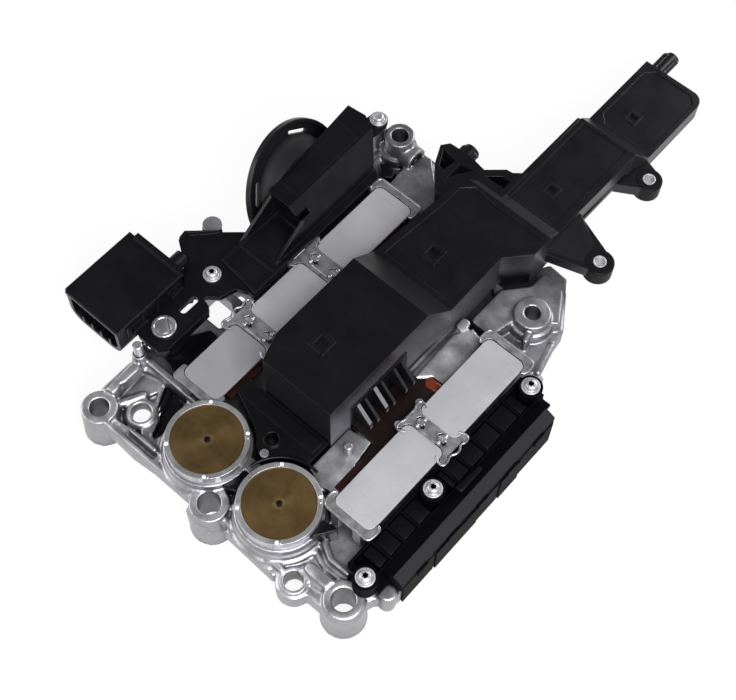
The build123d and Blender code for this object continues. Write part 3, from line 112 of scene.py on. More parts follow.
def castMaterial(name, look):
    # pressure die-cast aluminium, lightly blasted: soft sheen, orange-peel swell, grey flow patches
    material, tree, shader, place = newMaterial(name)
    patch = addNode(
        tree, "ShaderNodeTexNoise", Vector=place, Scale=perMm(look["patch"]), Detail=5.0, Roughness=0.65,
    )
    swell = addNode(tree, "ShaderNodeTexNoise", Vector=place, Scale=perMm(look["swell"]), Detail=3.0)
    grain = addNode(tree, "ShaderNodeTexNoise", Vector=place, Scale=perMm(look["grain"]), Detail=3.0)
    spread = addNode(tree, "ShaderNodeMapRange", _0=patch.outputs["Fac"], _1=0.35, _2=0.65)
    base = addNode(
        tree, "ShaderNodeMix", dict(data_type="RGBA"), _0=spread.outputs[0],
        _6=linear(look["dull"]), _7=linear(look["bright"]),
    )
    spots = addNode(
        tree, "ShaderNodeMapRange", _0=swell.outputs["Fac"], _1=0.60, _2=0.74, _3=0.0, _4=look["stainShare"],
    )
    stained = addNode(
        tree, "ShaderNodeMix", dict(data_type="RGBA"), _0=spots.outputs[0],
        _6=base.outputs[2], _7=linear(look["stain"]),
    )
    # painted shade: upright walls are painted duller, and the rear end is painted darker grey
    facing = addNode(tree, "ShaderNodeTexCoord").outputs["Normal"]
    upright = addNode(tree, "ShaderNodeSeparateXYZ", _0=facing)
    level = addNode(tree, "ShaderNodeMath", dict(operation="ABSOLUTE"), _0=upright.outputs[2])
    steep = addNode(
        tree, "ShaderNodeMapRange", _0=level.outputs[0], _1=0.25, _2=0.70, _3=look["wallShare"], _4=0.0,
    )
    walled = addNode(
        tree, "ShaderNodeMix", dict(data_type="RGBA"), _0=steep.outputs[0],
        _6=stained.outputs[2], _7=linear(look["wall"]),
    )
    spot = addNode(tree, "ShaderNodeSeparateXYZ", _0=place)
    far = addNode(
        tree, "ShaderNodeMapRange", _0=spot.outputs[1], _1=look["rearShadeFrom"] * mm, _2=look["rearShadeTo"] * mm,
        _3=0.0, _4=look["rearShadeShare"],
    )
    rearShade = addNode(
        tree, "ShaderNodeMix", dict(data_type="RGBA"), _0=far.outputs[0],
        _6=walled.outputs[2], _7=linear(look["rearShade"]),
    )
    # painted shade: bores and corners are painted darker, by how closed in they are
    shade = addNode(tree, "ShaderNodeAmbientOcclusion", dict(samples=6), Distance=look["corner"] * mm)
    recessShadeAmount = addNode(
        tree, "ShaderNodeMapRange", _0=shade.outputs["AO"], _1=0.15, _2=0.85, _3=look["recessShadeShare"], _4=0.0,
    )
    wornAndShaded = addNode(
        tree, "ShaderNodeMix", dict(data_type="RGBA"), _0=recessShadeAmount.outputs[0],
        _6=rearShade.outputs[2], _7=linear(look["recessShade"]),
    )
    tree.links.new(wornAndShaded.outputs[2], shader.inputs["Base Color"])
    shader.inputs["Metallic"].default_value = look["metallic"]
    rough = addNode(
        tree, "ShaderNodeMapRange", _0=patch.outputs["Fac"], _1=0.3, _2=0.7,
        _3=look["roughness"] - look["glossier"], _4=look["roughness"] + look["duller"],
    )
    tree.links.new(rough.outputs[0], shader.inputs["Roughness"])
    softEdge = addNode(tree, "ShaderNodeBevel", dict(samples=6), Radius=look["edge"] * mm)
    peel = addNode(
        tree, "ShaderNodeBump", Strength=look["swellDepth"], Distance=0.5 * mm,
        Height=swell.outputs["Fac"], Normal=softEdge.outputs[0],
    )
    bump = addNode(
        tree, "ShaderNodeBump", Strength=look["grainDepth"], Distance=0.2 * mm,
        Height=grain.outputs["Fac"], Normal=peel.outputs[0],
    )
    tree.links.new(bump.outputs[0], shader.inputs["Normal"])
    return material


plateLook = dict(
    pale="#B3B3B7", dull="#A4A4A8", scratch="#7C7B80", metallic=0.35, roughness=0.50, cloud=22.0,
    scratchWidth=0.35, scratchLength=9.0, scratchHeight=20.0, scratchTurns=(25, 118), scratchShare=0.5,
    pit=7.0, pitShare=0.7, depth=0.08, edge=0.5, glossier=0.05, duller=0.06,
)


def plateMaterial(name, look):
    # zinc-plated sheet steel, pressed: satin grey with fine handling scratches and a few dark pits
    material, tree, shader, place = newMaterial(name)
    cloud = addNode(tree, "ShaderNodeTexNoise", Vector=place, Scale=perMm(look["cloud"]), Detail=3.0)
    base = addNode(
        tree, "ShaderNodeMix", dict(data_type="RGBA"), _0=cloud.outputs["Fac"],
        _6=linear(look["dull"]), _7=linear(look["pale"]),
    )
    marks = None
    for turn in look["scratchTurns"]:
        along = addNode(tree, "ShaderNodeMapping", Vector=place)
        along.inputs["Rotation"].default_value = (0, 0, math.radians(turn))
        along.inputs["Scale"].default_value = (
            perMm(look["scratchLength"]), perMm(look["scratchWidth"]), perMm(look["scratchHeight"]),
        )
        streak = addNode(tree, "ShaderNodeTexNoise", Vector=along.outputs[0], Scale=1.0, Detail=1.0)
        cut = addNode(
            tree, "ShaderNodeMapRange", _0=streak.outputs["Fac"], _1=0.70, _2=0.76,
            _3=0.0, _4=look["scratchShare"],
        )
        marks = cut if marks is None else addNode(
            tree, "ShaderNodeMath", dict(operation="MAXIMUM"), _0=marks.outputs[0], _1=cut.outputs[0],
        )
    pits = addNode(tree, "ShaderNodeTexVoronoi", Vector=place, Scale=perMm(look["pit"]))
    pit = addNode(
        tree, "ShaderNodeMapRange", _0=pits.outputs["Distance"], _1=0.035, _2=0.07,
        _3=look["pitShare"], _4=0.0,
    )
    marks = addNode(
        tree, "ShaderNodeMath", dict(operation="MAXIMUM"), _0=marks.outputs[0], _1=pit.outputs[0],
    )
    wornAndShaded = addNode(
        tree, "ShaderNodeMix", dict(data_type="RGBA"), _0=marks.outputs[0],
        _6=base.outputs[2], _7=linear(look["scratch"]),
    )
    tree.links.new(wornAndShaded.outputs[2], shader.inputs["Base Color"])
    shader.inputs["Metallic"].default_value = look["metallic"]
    rough = addNode(
        tree, "ShaderNodeMapRange", _0=cloud.outputs["Fac"], _1=0.3, _2=0.7,
        _3=look["roughness"] - look["glossier"], _4=look["roughness"] + look["duller"],
    )
    tree.links.new(rough.outputs[0], shader.inputs["Roughness"])
    softEdge = addNode(tree, "ShaderNodeBevel", dict(samples=6), Radius=look["edge"] * mm)
    bump = addNode(
        tree, "ShaderNodeBump", dict(invert=True), Strength=look["depth"], Distance=0.1 * mm,
        Height=marks.outputs[0], Normal=softEdge.outputs[0],
    )
    tree.links.new(bump.outputs[0], shader.inputs["Normal"])
    return material


plasticLook = dict(
    dark="#040307", pale="#09080D", roughness=0.36, grain=0.5, depth=0.10, edge=0.8, smear=22.0, ior=1.41,
    gloss=0.5, duller=0.04, glossier=0.03,
)


def plasticMaterial(name, look):
    # glass-filled nylon, injection moulded: near black, fine eroded grain, wiped patches of sheen
    material, tree, shader, place = newMaterial(name)
    cloud = addNode(
        tree, "ShaderNodeTexNoise", Vector=place, Scale=perMm(look["smear"]), Detail=5.0, Roughness=0.6,
        Distortion=0.8,
    )
    grain = addNode(tree, "ShaderNodeTexNoise", Vector=place, Scale=perMm(look["grain"]), Detail=2.0)
    base = addNode(
        tree, "ShaderNodeMix", dict(data_type="RGBA"), _0=cloud.outputs["Fac"],
        _6=linear(look["dark"]), _7=linear(look["pale"]),
    )
    tree.links.new(base.outputs[2], shader.inputs["Base Color"])
    rough = addNode(
        tree, "ShaderNodeMapRange", _0=cloud.outputs["Fac"], _1=0.35, _2=0.65,
        _3=look["roughness"] - look["glossier"], _4=look["roughness"] + look["duller"],
    )
    tree.links.new(rough.outputs[0], shader.inputs["Roughness"])
    shader.inputs["IOR"].default_value = look["ior"]
    shader.inputs["Specular IOR Level"].default_value = look["gloss"]
    softEdge = addNode(tree, "ShaderNodeBevel", dict(samples=6), Radius=look["edge"] * mm)
    bump = addNode(
        tree, "ShaderNodeBump", Strength=look["depth"], Distance=0.1 * mm,
        Height=grain.outputs["Fac"], Normal=softEdge.outputs[0],
    )
    tree.links.new(bump.outputs[0], shader.inputs["Normal"])
    return material


discLook = dict(
    base="#655030", dark="#514026", pale="#6E5937", ring=0.9, band=4.6, blotch=12.0, roughness=0.38,
    haloInner=2.3, haloRadius=4.6, haloShare=0.55, halo="#8E7A52", metallic=0.7, turned=0.7, depth=0.30,
)
waveRepeat = 0.314  # the wave texture repeats about every third of a unit


def discMaterial(name, center, look):
    # hard-anodised aluminium, face-turned: bronze, with fine rings, soft bands and oily blotches
    material, tree, shader, place = newMaterial(name)
    moved = addNode(tree, "ShaderNodeMapping", Vector=place)
    moved.inputs["Location"].default_value = (-center[0], -center[1], 0)
    flat = addNode(
        tree, "ShaderNodeVectorMath", dict(operation="MULTIPLY"), _0=moved.outputs[0], _1=(1, 1, 0),
    )
    reach = addNode(tree, "ShaderNodeVectorMath", dict(operation="LENGTH"), _0=flat.outputs[0])
    rings = addNode(
        tree, "ShaderNodeTexWave", dict(wave_type="RINGS", rings_direction="Z"),
        Vector=moved.outputs[0], Scale=perMm(look["ring"]) * waveRepeat, Distortion=1.0, Detail=2.0,
    )
    bands = addNode(
        tree, "ShaderNodeTexWave", dict(wave_type="RINGS", rings_direction="Z"),
        Vector=moved.outputs[0], Scale=perMm(look["band"]) * waveRepeat, Distortion=3.0, Detail=3.0,
        Detail_Scale=2.0,
    )
    blotch = addNode(
        tree, "ShaderNodeTexNoise", Vector=place, Scale=perMm(look["blotch"]), Detail=6.0, Roughness=0.6,
        Distortion=0.6,
    )
    spread = addNode(tree, "ShaderNodeMapRange", _0=blotch.outputs["Fac"], _1=0.34, _2=0.66)
    base = addNode(
        tree, "ShaderNodeMix", dict(data_type="RGBA"), _0=spread.outputs[0],
        _6=linear(look["dark"]), _7=linear(look["pale"]),
    )
    share = addNode(tree, "ShaderNodeMapRange", _0=bands.outputs["Fac"], _3=0.15, _4=0.6)
    tint = addNode(
        tree, "ShaderNodeMix", dict(data_type="RGBA"), _0=share.outputs[0], _6=base.outputs[2],
        _7=linear(look["base"]),
    )
    near = addNode(
        tree, "ShaderNodeMapRange", _0=reach.outputs["Value"], _1=look["haloInner"] * mm,
        _2=look["haloRadius"] * mm, _3=look["haloShare"], _4=0.0,
    )
    lit = addNode(
        tree, "ShaderNodeMix", dict(data_type="RGBA"), _0=near.outputs[0], _6=tint.outputs[2],
        _7=linear(look["halo"]),
    )
    tree.links.new(lit.outputs[2], shader.inputs["Base Color"])
    shader.inputs["Metallic"].default_value = look["metallic"]
    shader.inputs["Roughness"].default_value = look["roughness"]
    shader.inputs["Anisotropic"].default_value = look["turned"]
    around = addNode(tree, "ShaderNodeTangent", dict(direction_type="RADIAL", axis="Z"))
    tree.links.new(around.outputs[0], shader.inputs["Tangent"])
    bump = addNode(
        tree, "ShaderNodeBump", Strength=look["depth"], Distance=0.15 * mm, Height=rings.outputs["Fac"],
    )
    tree.links.new(bump.outputs[0], shader.inputs["Normal"])
    return material


castAluminium = castMaterial("castAluminium", castLook)
# aluminium turned on a lathe: brighter and smoother, with painted shade only in the tightest corners
turnedAluminium = castMaterial("turnedAluminium", dict(
    castLook, bright="#D6D5D9", dull="#BEBDC1", stain="#A8A7AB", roughness=0.30, swellDepth=0.0,
    grainDepth=0.04, patch=20.0, corner=1.6, wallShare=0.0,
))
# aluminium struck with a punch: fresh, nearly white dots
peenedAluminium = castMaterial("peenedAluminium", dict(
    castLook, bright="#FFFFFF", dull="#F4F4F5", stain="#E8E8E8", metallic=0.2, roughness=0.25,
    swellDepth=0.0, grainDepth=0.03, wallShare=0.0,
))
zincPlatedSteel = plateMaterial("zincPlatedSteel", plateLook)
# the same plate with painted shade: duller and greyer, for the first coil's yoke
zincInShade = plateMaterial("zincInShade", dict(plateLook, pale="#97969B", dull="#89888D"))
# zinc-plated steel, cold headed: pale and smooth, with a soft shine
screwSteel = castMaterial("screwSteel", dict(
    castLook, bright="#D3D2D6", dull="#BEBDC1", stain="#A6A5A9", metallic=0.7, roughness=0.36,
    swellDepth=0.0, grainDepth=0.04, patch=6.0, corner=1.0, wallShare=0.0, rearShadeShare=0.0,
))
# spring steel, stamped and rolled: sharper shine, with painted shade darker in its folds
clipSteel = castMaterial("clipSteel", dict(
    castLook, bright="#C4C3C7", dull="#A3A2A7", stain="#7F7E82", metallic=0.8, roughness=0.30,
    swellDepth=0.05, grainDepth=0.05, patch=6.0, corner=3.5, wallShare=0.0, rearShadeShare=0.0,
))
# drawn steel with a flat grey film: matt, without highlights
cappedSteel = castMaterial("cappedSteel", dict(
    castLook, bright="#8A898D", dull="#7A797D", stain="#6C6B6F", metallic=0.6, roughness=0.55,
    swellDepth=0.0, grainDepth=0.05, corner=2.5, wallShare=0.0, rearShadeShare=0.0,
))
blackNylon = plasticMaterial("blackNylon", plasticLook)
# polished mould: nearly pure black with a small sharp shine
inkNylon = plasticMaterial("inkNylon", dict(plasticLook, dark="#040406", pale="#08070C", roughness=0.32))
# polyester moulded over the winding: black that turns red-brown in the light
brownCoilPlastic = plasticMaterial("brownCoilPlastic", dict(
    plasticLook, dark="#100606", pale="#2C120B", roughness=0.32,
))
# moulded lead frame plastic: dark umber with clouded patches
umberPlastic = plasticMaterial("umberPlastic", dict(
    plasticLook, dark="#070405", pale="#1B0B07", roughness=0.34, smear=12.0,
))
# pale grey nylon for painted highlights on the fins' top edges
finHighlightNylon = plasticMaterial("finHighlightNylon", dict(plasticLook, dark="#5A595E", pale="#7C7B80", roughness=0.45))


# tones of painted sheen on faces that look one way: the control unit's side and front, and the harness
# cover's slope
wallLook = dict(
    tone="#6C6B71", facing=(1.0, 0.0, 0.0), turned=(0.75, 0.93), low=42.0, high=80.0,
    front=70.0, back=260.0, least=0.10,
)
bevelSheenLook = dict(
    tone="#29282C", facing=(0.437, 0.0, 0.90), turned=(0.97, 0.995), low=30.0, high=20.0,
    front=30.0, back=900.0, least=0.9,
)
frontSheenLook = dict(
    tone="#1B1B1F", facing=(0.0, -1.0, 0.0), turned=(0.80, 0.95), low=40.0, high=90.0,
    front=70.0, back=100.0, least=0.5,
)


def paintSheen(material, look):
    # painted sheen: faces that look one way are painted a pale satin grey, more so low down and towards the
    # front
    tree = material.node_tree
    shader = tree.nodes["Principled BSDF"]
    source = shader.inputs["Base Color"].links[0].from_socket
    here = addNode(tree, "ShaderNodeTexCoord")
    spot = addNode(tree, "ShaderNodeSeparateXYZ", _0=here.outputs["Object"])
    facing = addNode(
        tree, "ShaderNodeVectorMath", dict(operation="DOT_PRODUCT"), _0=here.outputs["Normal"],
        _1=look["facing"],
    )
    side = addNode(
        tree, "ShaderNodeMapRange", _0=facing.outputs["Value"], _1=look["turned"][0], _2=look["turned"][1],
    )
    foot = addNode(
        tree, "ShaderNodeMapRange", _0=spot.outputs[2], _1=look["high"] * mm, _2=look["low"] * mm,
        _3=look["least"], _4=1.0,
    )
    near = addNode(
        tree, "ShaderNodeMapRange", _0=spot.outputs[1], _1=look["back"] * mm, _2=look["front"] * mm,
        _3=look["least"], _4=1.0,
    )
    share = addNode(
        tree, "ShaderNodeMath", dict(operation="MULTIPLY"), _0=side.outputs[0], _1=foot.outputs[0],
    )
    share = addNode(
        tree, "ShaderNodeMath", dict(operation="MULTIPLY"), _0=share.outputs[0], _1=near.outputs[0],
    )
    blend = addNode(
        tree, "ShaderNodeMix", dict(data_type="RGBA"), _0=share.outputs[0],
        _6=source, _7=linear(look["tone"]),
    )
    tree.links.new(blend.outputs[2], shader.inputs["Base Color"])
    return material


# nylon from an eroded mould: flat black, with a painted sheen of dark grey on its sloping edge
coverNylon = paintSheen(
    plasticMaterial("coverNylon", dict(plasticLook, roughness=0.6, ior=1.25, gloss=0.12)), bevelSheenLook,
)
# the control unit's nylon: black on top, with a painted sheen of satin grey on the side that faces the
# right-hand coils and a fainter one on the front
housingNylon = paintSheen(paintSheen(plasticMaterial("housingNylon", plasticLook), wallLook), frontSheenLook)
# unpainted terminal plastic, moulded: warm amber
amberPlastic = plasticMaterial("amberPlastic", dict(
    plasticLook, dark="#4A1A0C", pale="#74301A", roughness=0.3,
))
# nylon from eroded moulds, in three steps of flatness
tabNylon = plasticMaterial("tabNylon", dict(plasticLook, roughness=0.5, ior=1.25))
tileNylon = plasticMaterial("tileNylon", dict(plasticLook, roughness=0.45, ior=1.3, gloss=0.25))
mattNylon = plasticMaterial("mattNylon", dict(
    plasticLook, dark="#09090C", pale="#111115", roughness=0.62,
))
# moulded nitrile rubber: flat dark grey
sealRubber = plasticMaterial("sealRubber", dict(
    plasticLook, dark="#0E0E0E", pale="#161616", roughness=0.6,
))
# varnished board laminate: deep green
boardLaminate = plasticMaterial("boardLaminate", dict(plasticLook, dark="#10301C", pale="#183E26"))


def middle(name):
    low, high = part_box(name)
    return [(a + b) / 2 for a, b in zip(low, high)]


def dress(name, material):
    node = nodes[name]
    node.data.materials.clear()
    node.data.materials.append(material)


finishes = dict(
    upper_valve_body=castAluminium, lower_valve_body=castAluminium, gasket_plate=zincPlatedSteel,
    accumulator_sleeve_left=turnedAluminium, accumulator_sleeve_right=turnedAluminium,
    accumulator_spring_left=screwSteel, accumulator_spring_right=screwSteel,
    base_plate=castAluminium, middle_clips=clipSteel, end_clips=clipSteel,
    control_housing=housingNylon, circuit_board=boardLaminate, tab_bushes=screwSteel,
    front_cover=inkNylon, side_bracket=blackNylon, bracket_bush=turnedAluminium, sensor_cap=cappedSteel,
    terminal_box=blackNylon, terminal_lid=blackNylon, plug_housing=blackNylon,
    plug_seal=sealRubber, plug_contacts=screwSteel, harness_cover=coverNylon,
    locating_pin=turnedAluminium, flange_screws=screwSteel, body_screws=screwSteel,
)
for name, material in finishes.items():
    dress(name, material)
for number in range(1, 6):
    dress(f"solenoid_yoke_{number}", zincInShade if number == 1 else zincPlatedSteel)
    dress(f"solenoid_coil_{number}", brownCoilPlastic)
    dress(f"solenoid_plunger_{number}", screwSteel)
for side in ("left", "right"):
    piston = f"accumulator_piston_{side}"
    dress(piston, discMaterial(f"anodisedDisc{side.capitalize()}", middle(piston), discLook))
print("materials on the nodes")


def weld(mesh, verts=None, gap=0.002):
    # joins the points that lie in one place, within a gap in millimetres
    bmesh.ops.remove_doubles(mesh, verts=verts or mesh.verts, dist=gap * mm)


def nodeCopy(name):
    # a node's loose triangles joined up in a new bmesh; the node itself stays as it is
    mesh = bmesh.new()
    mesh.from_mesh(nodes[name].data)
    weld(mesh, gap=0.005)
    return mesh


def newPiece(name, mesh, material, body="unit", smooth=35, replaces=()):
    # the bmesh becomes one object that rides on a body and takes its finish from a slot
    bmesh.ops.recalc_face_normals(mesh, faces=mesh.faces)
    data = bpy.data.meshes.new(name)
    mesh.to_mesh(data)
    mesh.free()
    copied = data.attributes.get("custom_normal")  # a node's own normals don't fit a changed copy
    if copied:
        data.attributes.remove(copied)
    data.materials.clear()
    data.materials.append(material)
    data.shade_smooth()
    data.set_sharp_from_angle(angle=math.radians(smooth))
    piece = bpy.data.objects.new(name, data)
    bpy.context.scene.collection.objects.link(piece)
    for node in replaces:
        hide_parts(node)
    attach(piece, body)
    print(name, len(data.polygons), "faces")
    return piece


def prism(mesh, outline, low, high, edge=0.0):
    # an outline in millimetres raised from one level to another, its top edge rounded
    corners = [mesh.verts.new((x * mm, y * mm, low * mm)) for x, y in outline]
    face = mesh.faces.new(corners)
    raised = bmesh.ops.extrude_face_region(mesh, geom=[face])["geom"]
    tops = [v for v in raised if isinstance(v, bmesh.types.BMVert)]
    bmesh.ops.translate(mesh, verts=tops, vec=(0, 0, (high - low) * mm))
    if edge:
        rim = [e for e in raised if isinstance(e, bmesh.types.BMEdge)]
        bmesh.ops.bevel(
            mesh, geom=rim, offset=edge * mm, offset_type="OFFSET", segments=3, profile=0.5,
            affect="EDGES", material=-1,
        )


def turned(mesh, center, profile, steps=36, angle=360.0, start=0.0):
    # a profile of radius and level points turned about an upright axis; gives its vertices
    loose = [mesh.verts.new((r * mm, 0, z * mm)) for r, z in profile]
    wires = [mesh.edges.new(pair) for pair in zip(loose, loose[1:])]
    before = set(mesh.verts) - set(loose)
    bmesh.ops.spin(
        mesh, geom=loose + wires, cent=(0, 0, 0), axis=(0, 0, 1), angle=math.radians(angle),
        steps=steps, use_merge=angle == 360.0,
    )
    made = [v for v in mesh.verts if v not in before]
    bmesh.ops.rotate(mesh, verts=made, cent=(0, 0, 0), matrix=Matrix.Rotation(math.radians(start), 3, "Z"))
    bmesh.ops.translate(mesh, verts=made, vec=(center[0] * mm, center[1] * mm, 0))
    return made


def turnedPiece(name, look, material, angle=360.0, start=0.0, body="unit", replaces=()):
    # one turned piece; a turn that isn't full gets its two ends filled
    mesh = bmesh.new()
    turned(mesh, look["center"], look["profile"], steps=look["steps"], angle=angle, start=start)
    weld(mesh)
    if angle < 360.0:
        bmesh.ops.holes_fill(mesh, edges=mesh.edges)
    newPiece(name, mesh, material, body=body, replaces=replaces)


def blockPiece(name, look, material):
    # one piece of blocks, each an outline with its lowest and highest level
    mesh = bmesh.new()
    for outline, low, high in look["blocks"]:
        prism(mesh, outline, low, high, edge=look["edge"])
    newPiece(name, mesh, material)


def bar(mesh, start, end, radius, segments=12):
    # a round-ended bar between two points, in millimetres
    near, far = Vector(start) * mm, Vector(end) * mm
    run = far - near
    turn = run.to_track_quat("Z", "Y").to_matrix().to_4x4()
    bmesh.ops.create_cone(
        mesh, cap_ends=True, segments=segments, radius1=radius * mm, radius2=radius * mm,
        depth=run.length, matrix=Matrix.Translation((near + far) / 2) @ turn,
    )
    for tip in (near, far):
        bmesh.ops.create_uvsphere(
            mesh, u_segments=segments, v_segments=segments // 2, radius=radius * mm,
            matrix=Matrix.Translation(tip),
        )


def wire(name, routes, radius, material):
    # a rolled edge or formed wire along smooth routes in millimetres
    curve = bpy.data.curves.new(name, "CURVE")
    curve.dimensions = "3D"
    curve.bevel_depth = radius * mm
    curve.bevel_resolution = 3
    curve.resolution_u = 4
    curve.use_fill_caps = True
    for route in routes:
        spline = curve.splines.new("NURBS")
        spline.points.add(len(route) - 1)
        for point, (x, y, z) in zip(spline.points, route):
            point.co = (x * mm, y * mm, z * mm, 1)
        spline.order_u = 3
        spline.use_endpoint_u = True
    holder = bpy.data.objects.new(name + "Route", curve)
    bpy.context.scene.collection.objects.link(holder)
    mesh = bmesh.new()
    mesh.from_mesh(bpy.data.meshes.new_from_object(holder))
    bpy.data.objects.remove(holder)
    weld(mesh, gap=0.001)
    newPiece(name, mesh, material)


skinLook = dict(
    voxel=0.85, relax=2, relaxFactor=0.5, share=0.36,
    # rounded ribs and swellings of the casting, from one point to another, with their radius
    ribs=(
        ((-101, 40, 26.5), (-99.5, 14, 25.5), 4.6), ((-85, 27, 22.5), (-92, 12, 23.5), 3.0),
        ((70, 8, 26), (84, 9, 26.5), 4.4), ((60, 30, 27), (66, 22, 27), 2.4),
        ((66, 22, 27), (78, 17.5, 27), 2.4), ((78, 17.5, 27), (92, 19, 27), 2.4),
        ((52, -3, 25), (40, -3, 25), 2.2), ((91.5, 204, 26), (86.5, 224, 26), 2.8),
        ((-66, 252, 30), (-44, 250, 30), 4.0), ((-92, 262, 26), (-92, 250, 26), 3.0),
        ((11, 1, 24), (22, 2, 24), 2.4), ((-106.2, 38, 20), (-106.2, 14, 20), 3.2),
    ),
    # raised flats: outline, lowest and highest level
    pads=(
        (((-106, 8), (-94, 14), (-84, 25), (-79, 38), (-92, 42), (-104, 34)), 12.0, 22.0),
        (((-69, 8), (-66, 22), (-60, 8)), 12.0, 23.0),
        (((-89, -4.2), (-84, 3.6), (-66, 6.4), (-53, 8.2), (-46, -4.2), (-62, -5.8)), 12.0, 25.6),
        (((-50, -4.5), (-44, 3.5), (-16, 1.5), (-14, -4.5)), 14.0, 26.2),
        (((16, -5.2), (18, 0), (56, -1), (58, -6.6)), 14.0, 26.2),
        (((31.8, 54), (56.8, 50.6), (56.8, 72), (51, 74), (48.6, 92), (31.8, 90)), 27.0, 40.8),
        (((31.8, 145), (40.4, 145), (44, 151), (46, 192), (31.8, 192)), 27.0, 38.2),
        (((39.8, 143), (48, 151), (57.2, 151), (57.2, 191), (45, 194), (38.2, 182)), 27.0, 41.4),
        (((31, 231.6), (32.3, 235.5), (47.3, 233.5), (54.8, 228.2), (52.2, 224.6), (38.4, 225.5)),
         24.0, 33.0),
        (((40, 255), (43.4, 263), (49, 271.8), (63.7, 270.6), (69.3, 262.3), (69, 250), (55, 245)),
         16.0, 27.0),
        # block in front of the middle bore
        (((-13.5, -1), (-12.4, -9.6), (-4, -12.4), (9.5, -11.9), (12.8, -4), (9.4, -2), (7.8, -5.4),
          (4.4, -8.4), (0, -9.4), (-4.4, -8.4), (-7.8, -5.4), (-9.4, -1)), 0.2, 20.0),
    ),
    # two pockets of the left ear, and the deep one beside the bracket that goes right through
    pockets=(
        (((-79.5, 41.5), (-60, 41.5), (-61, 28), (-56.8, 17), (-56, 8.5), (-69.3, 23.7)), 12.6),
        (((-93, 14.5), (-86.5, 7), (-80, 1.5), (-62, 4.5), (-60, 8.4), (-69.5, 23.7), (-80, 41), (-88, 41),
          (-97.5, 20)), 23.0),
        (((-94.4, 93.2), (-103, 97.6), (-103, 111), (-88.3, 110.7), (-82.6, 106.2), (-80.2, 101.3),
          (-81.4, 92.8)), -1.0),
    ),
    # soft collar round the drain hole
    collar=((-77.2, 17.2), ((6.3, 20.4), (6.3, 23.6), (7.3, 24.8), (8.9, 24.5), (11.2, 21.5), (11.2, 20.4),
                            (6.3, 20.4))),
    reach=70.0,
)


def carvedBy(mesh, knife):
    # the mesh less the knife, both closed; gives a new mesh and frees the two
    holders = []
    for label, part in (("whole", mesh), ("knife", knife)):
        data = bpy.data.meshes.new(label)
        part.to_mesh(data)
        part.free()
        holder = bpy.data.objects.new(label, data)
        bpy.context.scene.collection.objects.link(holder)
        holders.append(holder)
    carve = holders[0].modifiers.new("carve", "BOOLEAN")
    carve.operation = "DIFFERENCE"
    carve.solver = "EXACT"
    carve.object = holders[1]
    result = bmesh.new()
    view = bpy.context.evaluated_depsgraph_get()
    shaped = bpy.data.meshes.new_from_object(holders[0].evaluated_get(view))
    result.from_mesh(shaped)
    bpy.data.meshes.remove(shaped)
    for holder in holders:
        data = holder.data
        bpy.data.objects.remove(holder)
        bpy.data.meshes.remove(data)
    return result


def castSkin(name, body, look):
    # a copy of the casting, carved and built up, with its edges melted together as die casting leaves them
    knife = bmesh.new()
    for outline, floor in look["pockets"]:
        prism(knife, outline, floor, look["reach"])
    bmesh.ops.recalc_face_normals(knife, faces=knife.faces)
    built = carvedBy(nodeCopy(name), knife)
    rough = bpy.data.meshes.new(name + "Rough")
    skin = bpy.data.objects.new(name + "Skin", rough)
    bpy.context.scene.collection.objects.link(skin)
    for start, end, radius in look["ribs"]:
        bar(built, start, end, radius)
    for outline, low, high in look["pads"]:
        prism(built, outline, low, high)
    collar = turned(built, look["collar"][0], look["collar"][1])
    weld(built, verts=collar)
    collarFaces = {face for vert in collar if vert.is_valid for face in vert.link_faces}
    bmesh.ops.recalc_face_normals(built, faces=list(collarFaces))
    built.to_mesh(rough)
    built.free()
    melt = skin.modifiers.new("melt", "REMESH")
    melt.mode = "VOXEL"
    melt.voxel_size = look["voxel"] * mm
    relax = skin.modifiers.new("relax", "SMOOTH")
    relax.factor = look["relaxFactor"]
    relax.iterations = look["relax"]
    thin = skin.modifiers.new("thin", "DECIMATE")
    thin.ratio = look["share"]
    shaped = skin.evaluated_get(bpy.context.evaluated_depsgraph_get())
    final = bpy.data.meshes.new_from_object(shaped)
    skin.modifiers.clear()
    skin.data = final
    bpy.data.meshes.remove(rough)
    final.name = skin.name
    final.materials.clear()
    final.materials.append(castAluminium)
    final.shade_smooth()
    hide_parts(name)
    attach(skin, body)
    print(skin.name, len(final.polygons), "faces")


castSkin("upper_valve_body", "unit", skinLook)

# black blocks as painted shade in the pockets and gaps of the casting: outline, lowest and highest level
pocketShadeLook = dict(edge=0.6, blocks=(
    (((-78.5, 40.6), (-61.2, 40.6), (-62, 28), (-57.8, 17), (-57.4, 10.5), (-68.6, 24)), 12.2, 19.0),
    (((-78, 41), (-74, 41), (-70.2, 30), (-70.2, 25)), 19.0, 22.0),
    (((-5.5, 15.6), (-1.0, 25.4), (4.2, 24.3), (8.6, 15.3), (3.4, 12.8), (-1.0, 12.4)), 27.0, 38.0),
    (((62.3, 22.5), (60.4, 35.3), (71.5, 36.0)), 27.0, 42.5),
    (((-90.5, 53), (-90.5, 74), (-83, 86), (-75.5, 86), (-70.3, 80), (-70.3, 50), (-79, 48)), 27.0, 30.6),
    (((-76, 168), (-70.2, 168), (-70.2, 226), (-76, 234)), 27.0, 41.0),
    (((-122, 88), (-108, 86), (-104, 92), (-112, 104), (-122, 104)), 33.0, 44.0),
    (((-85, 253), (-77, 246), (-71, 250), (-73, 256), (-81, 257)), 27.0, 35.0),
))
blockPiece("pocketShadeFill", pocketShadeLook, inkNylon)

